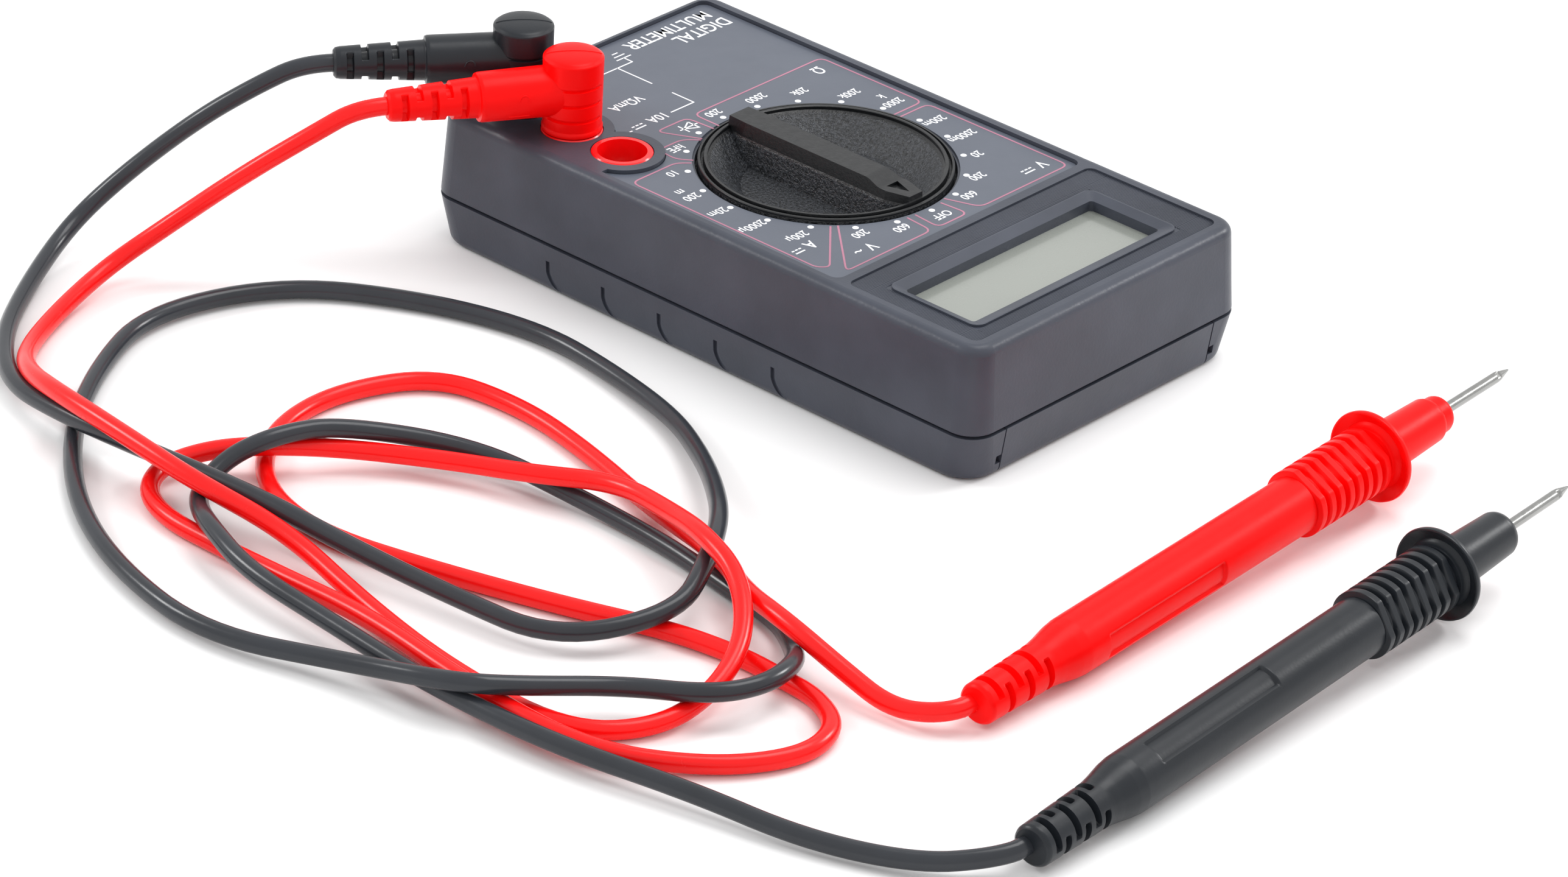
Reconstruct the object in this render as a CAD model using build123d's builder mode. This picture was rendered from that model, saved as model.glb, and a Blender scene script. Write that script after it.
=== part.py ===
"""Hand-held digital multimeter with a rotary range switch and two plugged-in test leads.

Frame: origin at the centre of the case's resting face, +Z up out of the front panel,
+Y towards the display end, +X towards the side that carries the input jacks. Millimetres.
"""
from build123d import *
import os
from math import cos, pi, radians, sin, tan

os.makedirs("parts", exist_ok=True)

# ---------------------------------------------------------------- driving dimensions
CASE_WIDTH = 70.0
CASE_LENGTH = 126.0
CASE_CORNER = 5.0
CASE_TOP = 25.2            # height of the front face
WALL = 1.8
PARTING = 9.1              # height of the parting line between the two shells
PARTING_GAP = 0.5
RUNNING = 0.08             # radial clearance of a turning or sliding fit

REAR_TOP = PARTING - PARTING_GAP / 2
FRONT_BOTTOM = PARTING + PARTING_GAP / 2
BASE_WIDTH = CASE_WIDTH - 1.2
BASE_LENGTH = CASE_LENGTH - 2.6
BASE_CORNER = 6.5
BASE_ROUND = 1.6

FACE_WIDTH = CASE_WIDTH - 2.0       # the front shell's sides lean in towards the face
FACE_LENGTH = CASE_LENGTH - 2.0
FACE_CORNER = CASE_CORNER - 0.6
FACE_ROUND = 1.8           # rounding between the sides and the face
PARTING_CHAMFER = 0.2
ROOF_UNDERSIDE = 22.4      # inside face of the front wall

POCKET = (-31.3, 31.3, -60.2, 28.8)      # sunk area for the printed sheet: x from, x to, y from, y to
POCKET_CORNER = 1.8
POCKET_FLOOR = 24.1
PANEL_TOP = 24.5
PANEL_GAP = 0.15

KNOB_Y = -2.1
KNOB_RADIUS = 22.1
KNOB_HOLE_RADIUS = 22.6
KNOB_RIM_TOP = 25.1
KNOB_RIDGE_TOP = 25.35
KNOB_BOWL_RADIUS = 20.4
KNOB_FLOOR = 20.0          # flat floor of the knob's dish
KNOB_FLOOR_RADIUS = 14.5
KNOB_BAR_TOP = 27.1
KNOB_NOSE_TOP = 26.2       # the bar is lower at its pointer end
COLLAR_RADIUS = 24.4       # bore of the ring that guides the knob's flange
COLLAR_OUTER = 26.4
COLLAR_BOTTOM = 18.6
POSITIONS = 20             # switch positions, evenly spaced over a full turn

DISPLAY = (-31.1, 31.1, 30.7, 59.1)      # sunk display area
DISPLAY_FLOOR = 24.75
FRAME = (-24.8, 27.0, 35.9, 55.9)        # raised frame round the window, bevelled inwards
WINDOW = (-22.6, 25.1, 38.3, 53.4)       # opening over the liquid crystal glass
WINDOW_TOP = 24.5
GLASS_TOP = 22.65
GLASS_THICKNESS = 1.5
GLASS_MARGIN = 1.0         # hidden border of the glass round the window

JACK_X = 23.1
JACK_PITCH = 12.0
JACK_Y = {"ten_amp": -28.4, "volt_ohm": -28.4 - JACK_PITCH, "common": -28.4 - 2 * JACK_PITCH}
JACK_BORE = 4.35
JACK_BODY = 4.95
JACK_RING = 5.4
JACK_RING_TOP = 25.3
JACK_SEAT = 24.6           # floor of the counterbore that takes the jack's ring
JACK_BOSS = 7.4            # radius of the raised face left round each jack
JACK_BOTTOM = 4.0
CONTACT_OUTER = 2.6
CONTACT_BORE = 2.025

BOARD_TOP = 17.0
BOARD_THICKNESS = 1.6
DISPLAY_BOARD_TOP = 20.4
BATTERY = (46.4, 26.0, 16.8)             # body of a nine volt block battery, lying across the case
BATTERY_BOTTOM = 2.2
BATTERY_MIDDLE = (1.1, 44.2)
DOOR_LEFT = -26.9
DOOR_RIGHT = 26.5
DOOR_FRONT = 28.3

CORD_DIAMETER = 3.2
ARC_SHARE = 0.45           # share of the shorter run that an arc of a cord takes up

CASE_SCREWS = [(-27.5, -56.0), (10.0, -56.8), (-30.0, 22.0), (30.0, 22.0)]
BOARD_SCREWS = [(-27.0, -42.0), (2.0, -47.0), (-20.0, 24.8), (20.0, 24.8)]


# ---------------------------------------------------------------- shared helpers
def finish(piece, label):
    """Names a finished piece and writes it."""
    piece.part.label = label
    export_step(piece.part, f"parts/{label}.step")


def slab(x_from, x_to, y_from, y_to, z_from, z_to, mode=Mode.ADD):
    """A box given by its limits."""
    with BuildSketch(Plane.XY.offset(z_from)) as profile:
        with Locations(((x_from + x_to) / 2, (y_from + y_to) / 2)):
            Rectangle(x_to - x_from, y_to - y_from)
    return extrude(profile.sketch, amount=z_to - z_from, mode=mode)


def rounded_slab(limits, corner, z_from, z_to, mode=Mode.ADD):
    """A plate with rounded corners, from its x and y limits."""
    x_from, x_to, y_from, y_to = limits
    with BuildSketch(Plane.XY.offset(z_from)) as profile:
        with Locations(((x_from + x_to) / 2, (y_from + y_to) / 2)):
            RectangleRounded(x_to - x_from, y_to - y_from, corner)
    return extrude(profile.sketch, amount=z_to - z_from, mode=mode)


def posts(places, radius, z_from, z_to, mode=Mode.ADD):
    """Upright round posts, or holes, at the given places."""
    with BuildSketch(Plane.XY.offset(z_from)) as profile:
        with Locations(*places):
            Circle(radius)
    return extrude(profile.sketch, amount=z_to - z_from, mode=mode)


def skin(sections, mode=Mode.ADD):
    """Lofts rounded rectangles given as (z, width, length, corner)."""
    profiles = []
    for z, width, length, corner in sections:
        with BuildSketch(Plane.XY.offset(z)) as profile:
            RectangleRounded(width, length, corner)
        profiles.append(profile.sketch)
    return loft(profiles, ruled=True, mode=mode)


def turned(outline, origin, along, side):
    """Turns an outline of (distance along the axis, radius) points about that axis."""
    with BuildSketch(Plane(origin=origin, x_dir=along, z_dir=side)) as profile:
        with BuildLine():
            Polyline(*outline, close=True)
        make_face()
    return revolve(profile.sketch, axis=Axis(origin, along))


# ---------------------------------------------------------------- rear shell
DOOR_SLOT = (DOOR_LEFT - 0.3, DOOR_RIGHT + 0.3)
with BuildPart() as rear_case:
    skin([(0, BASE_WIDTH, BASE_LENGTH, BASE_CORNER), (REAR_TOP, CASE_WIDTH, CASE_LENGTH, CASE_CORNER)])
    fillet(rear_case.faces().sort_by(Axis.Z)[0].edges(), BASE_ROUND)
    skin([(WALL, BASE_WIDTH - 2 * WALL, BASE_LENGTH - 2 * WALL, BASE_CORNER - WALL),
          (REAR_TOP, CASE_WIDTH - 2 * WALL, CASE_LENGTH - 2 * WALL, CASE_CORNER - WALL)], Mode.SUBTRACT)
    # lip that centres the front shell
    with BuildSketch(Plane.XY.offset(REAR_TOP)):
        RectangleRounded(CASE_WIDTH - 2.0, CASE_LENGTH - 2.0, CASE_CORNER - 1.0)
        RectangleRounded(CASE_WIDTH - 2 * WALL, CASE_LENGTH - 2 * WALL, CASE_CORNER - WALL,
                         mode=Mode.SUBTRACT)
    extrude(amount=2.1)
    # battery bay: rails either side of the door and a cross wall
    slab(DOOR_SLOT[0] - 2.4, DOOR_SLOT[0], DOOR_FRONT - 2.0, 60.0, 0.8, 8.6)
    slab(DOOR_SLOT[1], DOOR_SLOT[1] + 2.4, DOOR_FRONT - 2.0, 60.0, 0.8, 8.6)
    slab(DOOR_SLOT[0], DOOR_SLOT[1], DOOR_FRONT - 2.0, DOOR_FRONT - 0.3, 0.8, 8.6)
    slab(*DOOR_SLOT, DOOR_FRONT - 0.3, CASE_LENGTH / 2 + 1, -1, 12, Mode.SUBTRACT)
    slab(DOOR_SLOT[0] - 1.2, DOOR_SLOT[1] + 1.2, DOOR_FRONT, 66, 2.3, 3.9, Mode.SUBTRACT)
    posts(CASE_SCREWS, 2.8, 1.0, REAR_TOP)
    posts(CASE_SCREWS, 1.15, -1, REAR_TOP + 1, Mode.SUBTRACT)
    posts(CASE_SCREWS, 2.3, -1, 2.5, Mode.SUBTRACT)
    # hooked finger grooves down both long sides
    for side in (-1, 1):
        for number in range(5):
            groove_y = -34.3 + 13.15 * number
            with BuildSketch(Plane.YZ.offset(side * (CASE_WIDTH / 2 + 0.5))):
                with BuildLine():
                    straight = Line((groove_y, 5.8), (groove_y, 3.8))
                    RadiusArc(straight @ 1, (groove_y + 3.0, 0.8), -4.2)
                trace(line_width=0.9)
            extrude(amount=-side * 1.35, mode=Mode.SUBTRACT)
finish(rear_case, "rear_case")

# ---------------------------------------------------------------- battery door
with BuildPart() as battery_door:
    skin([(0, BASE_WIDTH, BASE_LENGTH, BASE_CORNER), (REAR_TOP, CASE_WIDTH, CASE_LENGTH, CASE_CORNER)])
    fillet(battery_door.faces().sort_by(Axis.Z)[0].edges(), BASE_ROUND)
    slab(DOOR_LEFT, DOOR_RIGHT, DOOR_FRONT, CASE_LENGTH / 2 + 1, -1, REAR_TOP, Mode.INTERSECT)
    slab(DOOR_LEFT - 1, DOOR_RIGHT + 1, DOOR_FRONT - 1, CASE_LENGTH / 2 - 2.4, WALL, 12, Mode.SUBTRACT)
    # tongues that slide in the rails of the rear shell
    slab(DOOR_LEFT, DOOR_LEFT + 2.0, DOOR_FRONT + 1, 59.5, 0.9, 3.6)
    slab(DOOR_RIGHT - 2.0, DOOR_RIGHT, DOOR_FRONT + 1, 59.5, 0.9, 3.6)
    slab(DOOR_LEFT - 1.1, DOOR_LEFT, DOOR_FRONT + 1, 57.5, 2.6, 3.6)
    slab(DOOR_RIGHT, DOOR_RIGHT + 1.1, DOOR_FRONT + 1, 57.5, 2.6, 3.6)
    # thumb grip: shallow ribs on the underside
    for rib in range(4):
        slab(-8.0, 8.0, 50.0 + 2.2 * rib, 50.9 + 2.2 * rib, -0.1, 0.35, Mode.SUBTRACT)
finish(battery_door, "battery_door")

# ---------------------------------------------------------------- front shell
JACKS = [(JACK_X, y) for y in JACK_Y.values()]


def pocket_outline(gap):
    """The sunk area of the printed sheet, with a gap all round, less the raised face round the jacks."""
    x_from, x_to, y_from, y_to = POCKET
    with BuildSketch() as outline:
        with Locations(((x_from + x_to) / 2, (y_from + y_to) / 2)):
            RectangleRounded(x_to - x_from - 2 * gap, y_to - y_from - 2 * gap, POCKET_CORNER - gap)
        with Locations(*JACKS):
            Circle(JACK_BOSS + gap, mode=Mode.SUBTRACT)
        with Locations((JACK_X + 10, JACK_Y["volt_ohm"])):
            Rectangle(20, 2 * JACK_PITCH + 6, mode=Mode.SUBTRACT)
    return outline.sketch


with BuildPart() as front_case:
    skin([(FRONT_BOTTOM, CASE_WIDTH - 2 * PARTING_CHAMFER, CASE_LENGTH - 2 * PARTING_CHAMFER,
           CASE_CORNER - PARTING_CHAMFER),
          (FRONT_BOTTOM + PARTING_CHAMFER, CASE_WIDTH, CASE_LENGTH, CASE_CORNER),
          (CASE_TOP, FACE_WIDTH, FACE_LENGTH, FACE_CORNER)])
    fillet(front_case.faces().sort_by(Axis.Z)[-1].edges(), FACE_ROUND)
    skin([(FRONT_BOTTOM, CASE_WIDTH - 2 * WALL, CASE_LENGTH - 2 * WALL, CASE_CORNER - WALL),
          (ROOF_UNDERSIDE, CASE_WIDTH - 2 * WALL - 1.8, CASE_LENGTH - 2 * WALL - 1.8, CASE_CORNER - WALL)],
         Mode.SUBTRACT)
    # step for the rear shell's lip
    with BuildSketch(Plane.XY.offset(FRONT_BOTTOM)):
        RectangleRounded(CASE_WIDTH - 1.8, CASE_LENGTH - 1.8, CASE_CORNER - 0.9)
    extrude(amount=1.9, mode=Mode.SUBTRACT)
    # sunk area for the printed sheet
    extrude(Plane.XY.offset(POCKET_FLOOR) * pocket_outline(0), amount=2, mode=Mode.SUBTRACT)
    # sunk display area with a raised frame whose inner edge slopes down to the window
    rounded_slab(DISPLAY, 1.6, DISPLAY_FLOOR, CASE_TOP + 1, Mode.SUBTRACT)
    rounded_slab(FRAME, 2.0, DISPLAY_FLOOR, CASE_TOP)
    frame_steps = []
    for limits, corner, z in ((FRAME, 1.7, CASE_TOP + 0.01), (WINDOW, 0.7, WINDOW_TOP)):
        x_from, x_to, y_from, y_to = limits
        edge = 0.5 * (z > CASE_TOP)
        with BuildSketch(Plane.XY.offset(z)) as frame_step:
            with Locations(((x_from + x_to) / 2, (y_from + y_to) / 2)):
                RectangleRounded(x_to - x_from - edge, y_to - y_from - edge, corner)
        frame_steps.append(frame_step.sketch)
    loft(frame_steps, ruled=True, mode=Mode.SUBTRACT)
    rounded_slab(WINDOW, 0.7, ROOF_UNDERSIDE - 1, CASE_TOP + 1, Mode.SUBTRACT)
    slab(WINDOW[0] - GLASS_MARGIN - 0.1, WINDOW[1] + GLASS_MARGIN + 0.1, WINDOW[2] - GLASS_MARGIN - 0.1,
         WINDOW[3] + GLASS_MARGIN + 0.1, ROOF_UNDERSIDE - 1, GLASS_TOP, Mode.SUBTRACT)
    # collar that guides the knob, with a detent groove at each position
    posts([(0, KNOB_Y)], COLLAR_OUTER, COLLAR_BOTTOM, ROOF_UNDERSIDE)
    posts([(0, KNOB_Y)], COLLAR_RADIUS, COLLAR_BOTTOM - 1, ROOF_UNDERSIDE, Mode.SUBTRACT)
    posts([(0, KNOB_Y)], KNOB_HOLE_RADIUS, ROOF_UNDERSIDE - 1, CASE_TOP + 1, Mode.SUBTRACT)
    with BuildSketch(Plane.XY.offset(COLLAR_BOTTOM - 1)):
        with Locations((0, KNOB_Y)):
            with PolarLocations(COLLAR_RADIUS, POSITIONS):
                Circle(0.8)
    extrude(amount=21.2 - COLLAR_BOTTOM + 1, mode=Mode.SUBTRACT)
    # jack holes, screw posts and the bosses that carry the board
    posts(JACKS, JACK_BODY + 0.05, ROOF_UNDERSIDE - 1, CASE_TOP + 1, Mode.SUBTRACT)
    posts(JACKS, JACK_RING + 0.12, JACK_SEAT, CASE_TOP + 1, Mode.SUBTRACT)
    posts(CASE_SCREWS, 2.8, REAR_TOP, ROOF_UNDERSIDE + 0.5)
    posts(CASE_SCREWS, 1.05, REAR_TOP - 1, 16.0, Mode.SUBTRACT)
    posts(BOARD_SCREWS, 2.2, BOARD_TOP, ROOF_UNDERSIDE + 0.5)
    posts(BOARD_SCREWS, 0.9, BOARD_TOP - 1, ROOF_UNDERSIDE - 0.5, Mode.SUBTRACT)
finish(front_case, "front_case")

# ---------------------------------------------------------------- printed panel
with BuildPart() as face_panel:
    extrude(Plane.XY.offset(POCKET_FLOOR) * pocket_outline(PANEL_GAP), amount=PANEL_TOP - POCKET_FLOOR)
    posts([(0, KNOB_Y)], KNOB_HOLE_RADIUS + 0.4, POCKET_FLOOR - 1, PANEL_TOP + 1, Mode.SUBTRACT)
finish(face_panel, "face_panel")

# ---------------------------------------------------------------- range knob
KNOB_BASE = 19.2
FLANGE_BOTTOM = 21.35
FLANGE_TOP = 22.2
BALL_RADIUS = 0.95
BALL_CENTRE = 23.2
BALL_HEIGHT = (KNOB_BASE + FLANGE_BOTTOM) / 2 - 0.05
SPRING_SEAT = 17.2         # radius at which the bores of the detent springs end
BAR_HALF = 2.6             # half width of the grip bar at its top and, leaning out, at the dish's floor
BAR_FOOT = 4.6
NOSE_BEGIN = 9.0
NOSE_END = 18.3
with BuildPart() as range_knob:
    with BuildSketch(Plane(origin=(0, KNOB_Y, 0), x_dir=(1, 0, 0), z_dir=(0, -1, 0))):
        with BuildLine():
            Polyline((0, KNOB_BASE), (0, KNOB_FLOOR), (KNOB_FLOOR_RADIUS, KNOB_FLOOR), (KNOB_BOWL_RADIUS, 24.7),
                     (KNOB_BOWL_RADIUS, KNOB_RIDGE_TOP - 0.1), (KNOB_BOWL_RADIUS + 0.15, KNOB_RIDGE_TOP),
                     (21.0, KNOB_RIDGE_TOP), (21.15, 24.3), (21.55, 24.3), (21.65, KNOB_RIM_TOP),
                     (KNOB_RADIUS - 0.1, KNOB_RIM_TOP), (KNOB_RADIUS, KNOB_RIM_TOP - 0.15),
                     (KNOB_RADIUS, FLANGE_TOP), (COLLAR_RADIUS - RUNNING, FLANGE_TOP),
                     (COLLAR_RADIUS - RUNNING, FLANGE_BOTTOM), (23.6, FLANGE_BOTTOM), (23.6, KNOB_BASE), close=True)
        make_face()
    revolve(axis=Axis((0, KNOB_Y, 0), (0, 0, 1)))
    # grip bar across the dish: its side view, extruded across and leaned in by a loft of its plan
    with BuildSketch(Plane.XY.offset(KNOB_FLOOR - 0.4)):
        with BuildLine():
            Polyline((-BAR_FOOT, -19.5), (-BAR_FOOT, 13.6), (-2.4, NOSE_END + 0.4), (2.4, NOSE_END + 0.4),
                     (BAR_FOOT, 13.6), (BAR_FOOT, -19.5), (BAR_HALF, -23.4), (-BAR_HALF, -23.4), close=True)
        make_face()
    with BuildSketch(Plane.XY.offset(KNOB_BAR_TOP)):
        with BuildLine():
            Polyline((-BAR_HALF, -18.5), (-BAR_HALF, 14.2), (-1.5, NOSE_END), (1.5, NOSE_END), (BAR_HALF, 14.2),
                     (BAR_HALF, -18.5), (BAR_HALF - 0.2, -22.6), (0.2 - BAR_HALF, -22.6), close=True)
        make_face()
    loft(ruled=True)
    with BuildSketch(Plane.YZ):
        with BuildLine():
            lowered = Line((NOSE_END + 3, KNOB_NOSE_TOP), (NOSE_BEGIN + 4, KNOB_NOSE_TOP))
            dip = Spline(lowered @ 1, (NOSE_BEGIN, KNOB_BAR_TOP), tangents=((-1, 0), (-1, 0)))
            Polyline(dip @ 1, (NOSE_BEGIN, KNOB_BAR_TOP + 1), (NOSE_END + 3, KNOB_BAR_TOP + 1), lowered @ 0)
        make_face()
    extrude(amount=8, both=True, mode=Mode.SUBTRACT)
    # sunk pointer mark
    with BuildSketch(Plane.XY.offset(KNOB_NOSE_TOP - 0.6)):
        with BuildLine():
            Polyline((-1.4, 12.9), (1.4, 12.9), (0, 16.9), close=True)
        make_face()
    extrude(amount=2, mode=Mode.SUBTRACT)
    # radial bores for the detent springs and balls
    for side in (-1, 1):
        with BuildSketch(Plane(origin=(side * SPRING_SEAT, KNOB_Y, BALL_HEIGHT), x_dir=(0, 1, 0), z_dir=(side, 0, 0))):
            Circle(BALL_RADIUS + 0.03)
        extrude(amount=9, mode=Mode.SUBTRACT)
finish(range_knob, "range_knob")

SPRING_TURNS = 6
SPRING_LENGTH = BALL_CENTRE - BALL_RADIUS - 0.1 - SPRING_SEAT - 0.2
for name, side in (("left", -1), ("right", 1)):
    with BuildPart() as detent_ball:
        with Locations((side * BALL_CENTRE, KNOB_Y, BALL_HEIGHT)):
            Sphere(BALL_RADIUS)
    finish(detent_ball, f"detent_ball_{name}")
    coil_start = (side * (SPRING_SEAT + 0.15), KNOB_Y, BALL_HEIGHT)
    with BuildPart() as detent_spring:
        with BuildLine() as coil:
            Helix(pitch=SPRING_LENGTH / SPRING_TURNS, height=SPRING_LENGTH, radius=0.7, center=coil_start, direction=(side, 0, 0))
        with BuildSketch(Plane(origin=coil.line @ 0, z_dir=coil.line % 0)):
            Circle(0.13)
        sweep(is_frenet=True)
    finish(detent_spring, f"detent_spring_{name}")

# three contact wipers under the knob, each a bridge with two bent fingers
for number in range(3):
    turn = radians(90 + 120 * number)
    out = Vector(cos(turn), sin(turn), 0)
    across = Vector(-sin(turn), cos(turn), 0)
    seat = Vector(0, KNOB_Y, KNOB_BASE) + out * 12.5
    with BuildPart() as wiper:
        with BuildSketch(Plane(origin=seat, x_dir=out, z_dir=across * -1)):
            with BuildLine():
                Polyline((-2.2, 0), (2.2, 0), (4.9, -1.25), (5.9, -0.85), (6.0, -1.1), (4.8, -1.6), (2.0, -0.3),
                         (-2.0, -0.3), (-4.8, -1.6), (-6.0, -1.1), (-5.9, -0.85), (-4.9, -1.25), close=True)
            make_face()
        extrude(amount=1.1, both=True)
    finish(wiper, f"contact_wiper_{number + 1}")

# ---------------------------------------------------------------- display
with BuildPart() as lcd_glass:
    slab(WINDOW[0] - GLASS_MARGIN, WINDOW[1] + GLASS_MARGIN, WINDOW[2] - GLASS_MARGIN, WINDOW[3] + GLASS_MARGIN,
         GLASS_TOP - GLASS_THICKNESS, GLASS_TOP)
finish(lcd_glass, "lcd_glass")

ZEBRA_Y = 38.4
with BuildPart() as zebra_strip:
    slab(-20.0, 22.0, ZEBRA_Y - 0.9, ZEBRA_Y + 0.9, DISPLAY_BOARD_TOP, GLASS_TOP - GLASS_THICKNESS)
finish(zebra_strip, "zebra_strip")

with BuildPart() as lcd_holder:
    slab(-26.2, 28.7, 35.2, 57.0, DISPLAY_BOARD_TOP, ROOF_UNDERSIDE - 0.1)
    slab(WINDOW[0] - GLASS_MARGIN - 0.1, WINDOW[1] + GLASS_MARGIN + 0.1, WINDOW[2] - GLASS_MARGIN - 0.1,
         WINDOW[3] + GLASS_MARGIN + 0.1, DISPLAY_BOARD_TOP - 1, ROOF_UNDERSIDE + 1, Mode.SUBTRACT)
finish(lcd_holder, "lcd_holder")

with BuildPart() as display_board:
    slab(-28.5, 28.5, 30.5, 58.5, DISPLAY_BOARD_TOP - 1.2, DISPLAY_BOARD_TOP)
    slab(-14.0, 14.0, 24.8, 30.6, DISPLAY_BOARD_TOP - 1.2, DISPLAY_BOARD_TOP)
finish(display_board, "display_board")

# ---------------------------------------------------------------- main board and what it carries
BOARD_BOTTOM = BOARD_TOP - BOARD_THICKNESS
with BuildPart() as main_board:
    rounded_slab((-31.5, 31.5, -58.5, 27.6), 2.0, BOARD_BOTTOM, BOARD_TOP)
    posts(JACKS, JACK_BODY + 0.25, 10, 20, Mode.SUBTRACT)
    posts(CASE_SCREWS, 3.1, 10, 20, Mode.SUBTRACT)
    posts(BOARD_SCREWS, 1.15, 10, 20, Mode.SUBTRACT)
finish(main_board, "main_board")

with BuildPart() as switch_tracks:
    with BuildSketch(Plane.XY.offset(BOARD_TOP)):
        with Locations((0, KNOB_Y)):
            Circle(18.6)
            Circle(16.4, mode=Mode.SUBTRACT)
            Circle(8.8)
            Circle(6.6, mode=Mode.SUBTRACT)
    extrude(amount=0.1)
finish(switch_tracks, "switch_tracks")

with BuildPart() as board_header:
    slab(-12.0, 12.0, 25.6, 27.2, BOARD_TOP, DISPLAY_BOARD_TOP - 1.2)
finish(board_header, "board_header")

with BuildPart() as adc_chip:
    with BuildSketch(Plane.XY.offset(BOARD_BOTTOM - 1.6)):
        with Locations((-8.0, 8.0)):
            Circle(5.6)
    extrude(amount=1.6)
    fillet(adc_chip.faces().sort_by(Axis.Z)[0].edges(), 1.2)
finish(adc_chip, "adc_chip")

with BuildPart() as trimmer:
    slab(10.5, 17.0, 6.0, 13.0, BOARD_BOTTOM - 3.6, BOARD_BOTTOM)
    posts([(13.75, 9.5)], 2.4, BOARD_BOTTOM - 4.2, BOARD_BOTTOM - 3.6)
    slab(11.7, 15.8, 9.2, 9.8, BOARD_BOTTOM - 4.3, BOARD_BOTTOM - 3.9, Mode.SUBTRACT)
finish(trimmer, "trimmer")

FUSE_X = -14.0
FUSE_AXIS = BOARD_BOTTOM - 4.2
with BuildPart() as fuse:
    with BuildSketch(Plane.XZ.offset(12.0)):
        with Locations((FUSE_X, FUSE_AXIS)):
            Circle(2.5)
    extrude(amount=20.0)
    with BuildSketch(Plane.XZ.offset(17.5)):
        with Locations((FUSE_X, FUSE_AXIS)):
            Circle(2.6)
            Circle(2.25, mode=Mode.SUBTRACT)
    extrude(amount=9.0, mode=Mode.SUBTRACT)
finish(fuse, "fuse")

for name, clip_y in (("front", -15.0), ("back", -29.0)):
    with BuildPart() as fuse_clip:
        with BuildSketch(Plane.XZ.offset(-clip_y - 1.6)):
            with BuildLine():
                Polyline((FUSE_X - 3.2, BOARD_BOTTOM), (FUSE_X - 3.2, FUSE_AXIS - 2.4), (FUSE_X - 2.7, FUSE_AXIS - 2.4),
                         (FUSE_X - 2.7, BOARD_BOTTOM - 0.5), (FUSE_X + 2.7, BOARD_BOTTOM - 0.5),
                         (FUSE_X + 2.7, FUSE_AXIS - 2.4), (FUSE_X + 3.2, FUSE_AXIS - 2.4),
                         (FUSE_X + 3.2, BOARD_BOTTOM), close=True)
            make_face()
        extrude(amount=3.2)
    finish(fuse_clip, f"fuse_clip_{name}")

SHUNT_DROP = 6.0
with BuildPart() as shunt_wire:
    with BuildLine() as shunt_path:
        FilletPolyline((13.5, -30.0, BOARD_BOTTOM), (13.5, -30.0, BOARD_BOTTOM - SHUNT_DROP),
                       (13.5, -50.0, BOARD_BOTTOM - SHUNT_DROP), (13.5, -50.0, BOARD_BOTTOM), radius=2.5)
    with BuildSketch(Plane(origin=shunt_path.line @ 0, z_dir=shunt_path.line % 0)):
        Circle(0.8)
    sweep()
finish(shunt_wire, "shunt_wire")

for number, (x, y, radius, height) in enumerate([(-22.0, 2.0, 2.5, 7.0), (4.0, 16.0, 2.0, 6.0), (20.0, -6.0, 2.5, 7.0)]):
    with BuildPart() as capacitor:
        posts([(x, y)], radius, BOARD_BOTTOM - height, BOARD_BOTTOM)
        fillet(capacitor.faces().sort_by(Axis.Z)[0].edges(), 0.4)
    finish(capacitor, f"capacitor_{number + 1}")

for number in range(3):
    resistor_x = -4.0 + 4.5 * number
    with BuildPart() as resistor:
        with BuildSketch(Plane.XZ.offset(22.0)):
            with Locations((resistor_x, BOARD_BOTTOM - 1.6)):
                Circle(1.15)
        extrude(amount=6.3)
        fillet(resistor.faces().filter_by(Axis.Y).edges(), 0.4)
        with BuildLine() as lead:
            FilletPolyline((resistor_x, -18.2, BOARD_BOTTOM), (resistor_x, -18.2, BOARD_BOTTOM - 1.6),
                           (resistor_x, -32.0, BOARD_BOTTOM - 1.6), (resistor_x, -32.0, BOARD_BOTTOM), radius=0.7)
        with BuildSketch(Plane(origin=lead.line @ 0, z_dir=lead.line % 0)):
            Circle(0.3)
        sweep()
    finish(resistor, f"resistor_{number + 1}")

# ---------------------------------------------------------------- input jacks
for name, jack_y in JACK_Y.items():
    with BuildPart() as jack_sleeve:
        posts([(JACK_X, jack_y)], JACK_BODY, JACK_BOTTOM, JACK_SEAT)
        posts([(JACK_X, jack_y)], JACK_RING, JACK_SEAT, JACK_RING_TOP)
        chamfer(jack_sleeve.faces().sort_by(Axis.Z)[-1].edges(), 0.2)
        posts([(JACK_X, jack_y)], JACK_BORE, JACK_BOTTOM + 1.0, CASE_TOP + 1, Mode.SUBTRACT)
    finish(jack_sleeve, f"jack_sleeve_{name}")
    with BuildPart() as jack_contact:
        posts([(JACK_X, jack_y)], 3.6, JACK_BOTTOM + 1.0, JACK_BOTTOM + 2.0)
        posts([(JACK_X, jack_y)], CONTACT_OUTER, JACK_BOTTOM + 2.0, 20.5)
        chamfer(jack_contact.faces().sort_by(Axis.Z)[-1].edges(), 0.25)
        posts([(JACK_X, jack_y)], CONTACT_BORE, JACK_BOTTOM + 2.0, 22, Mode.SUBTRACT)
    finish(jack_contact, f"jack_contact_{name}")

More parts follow.
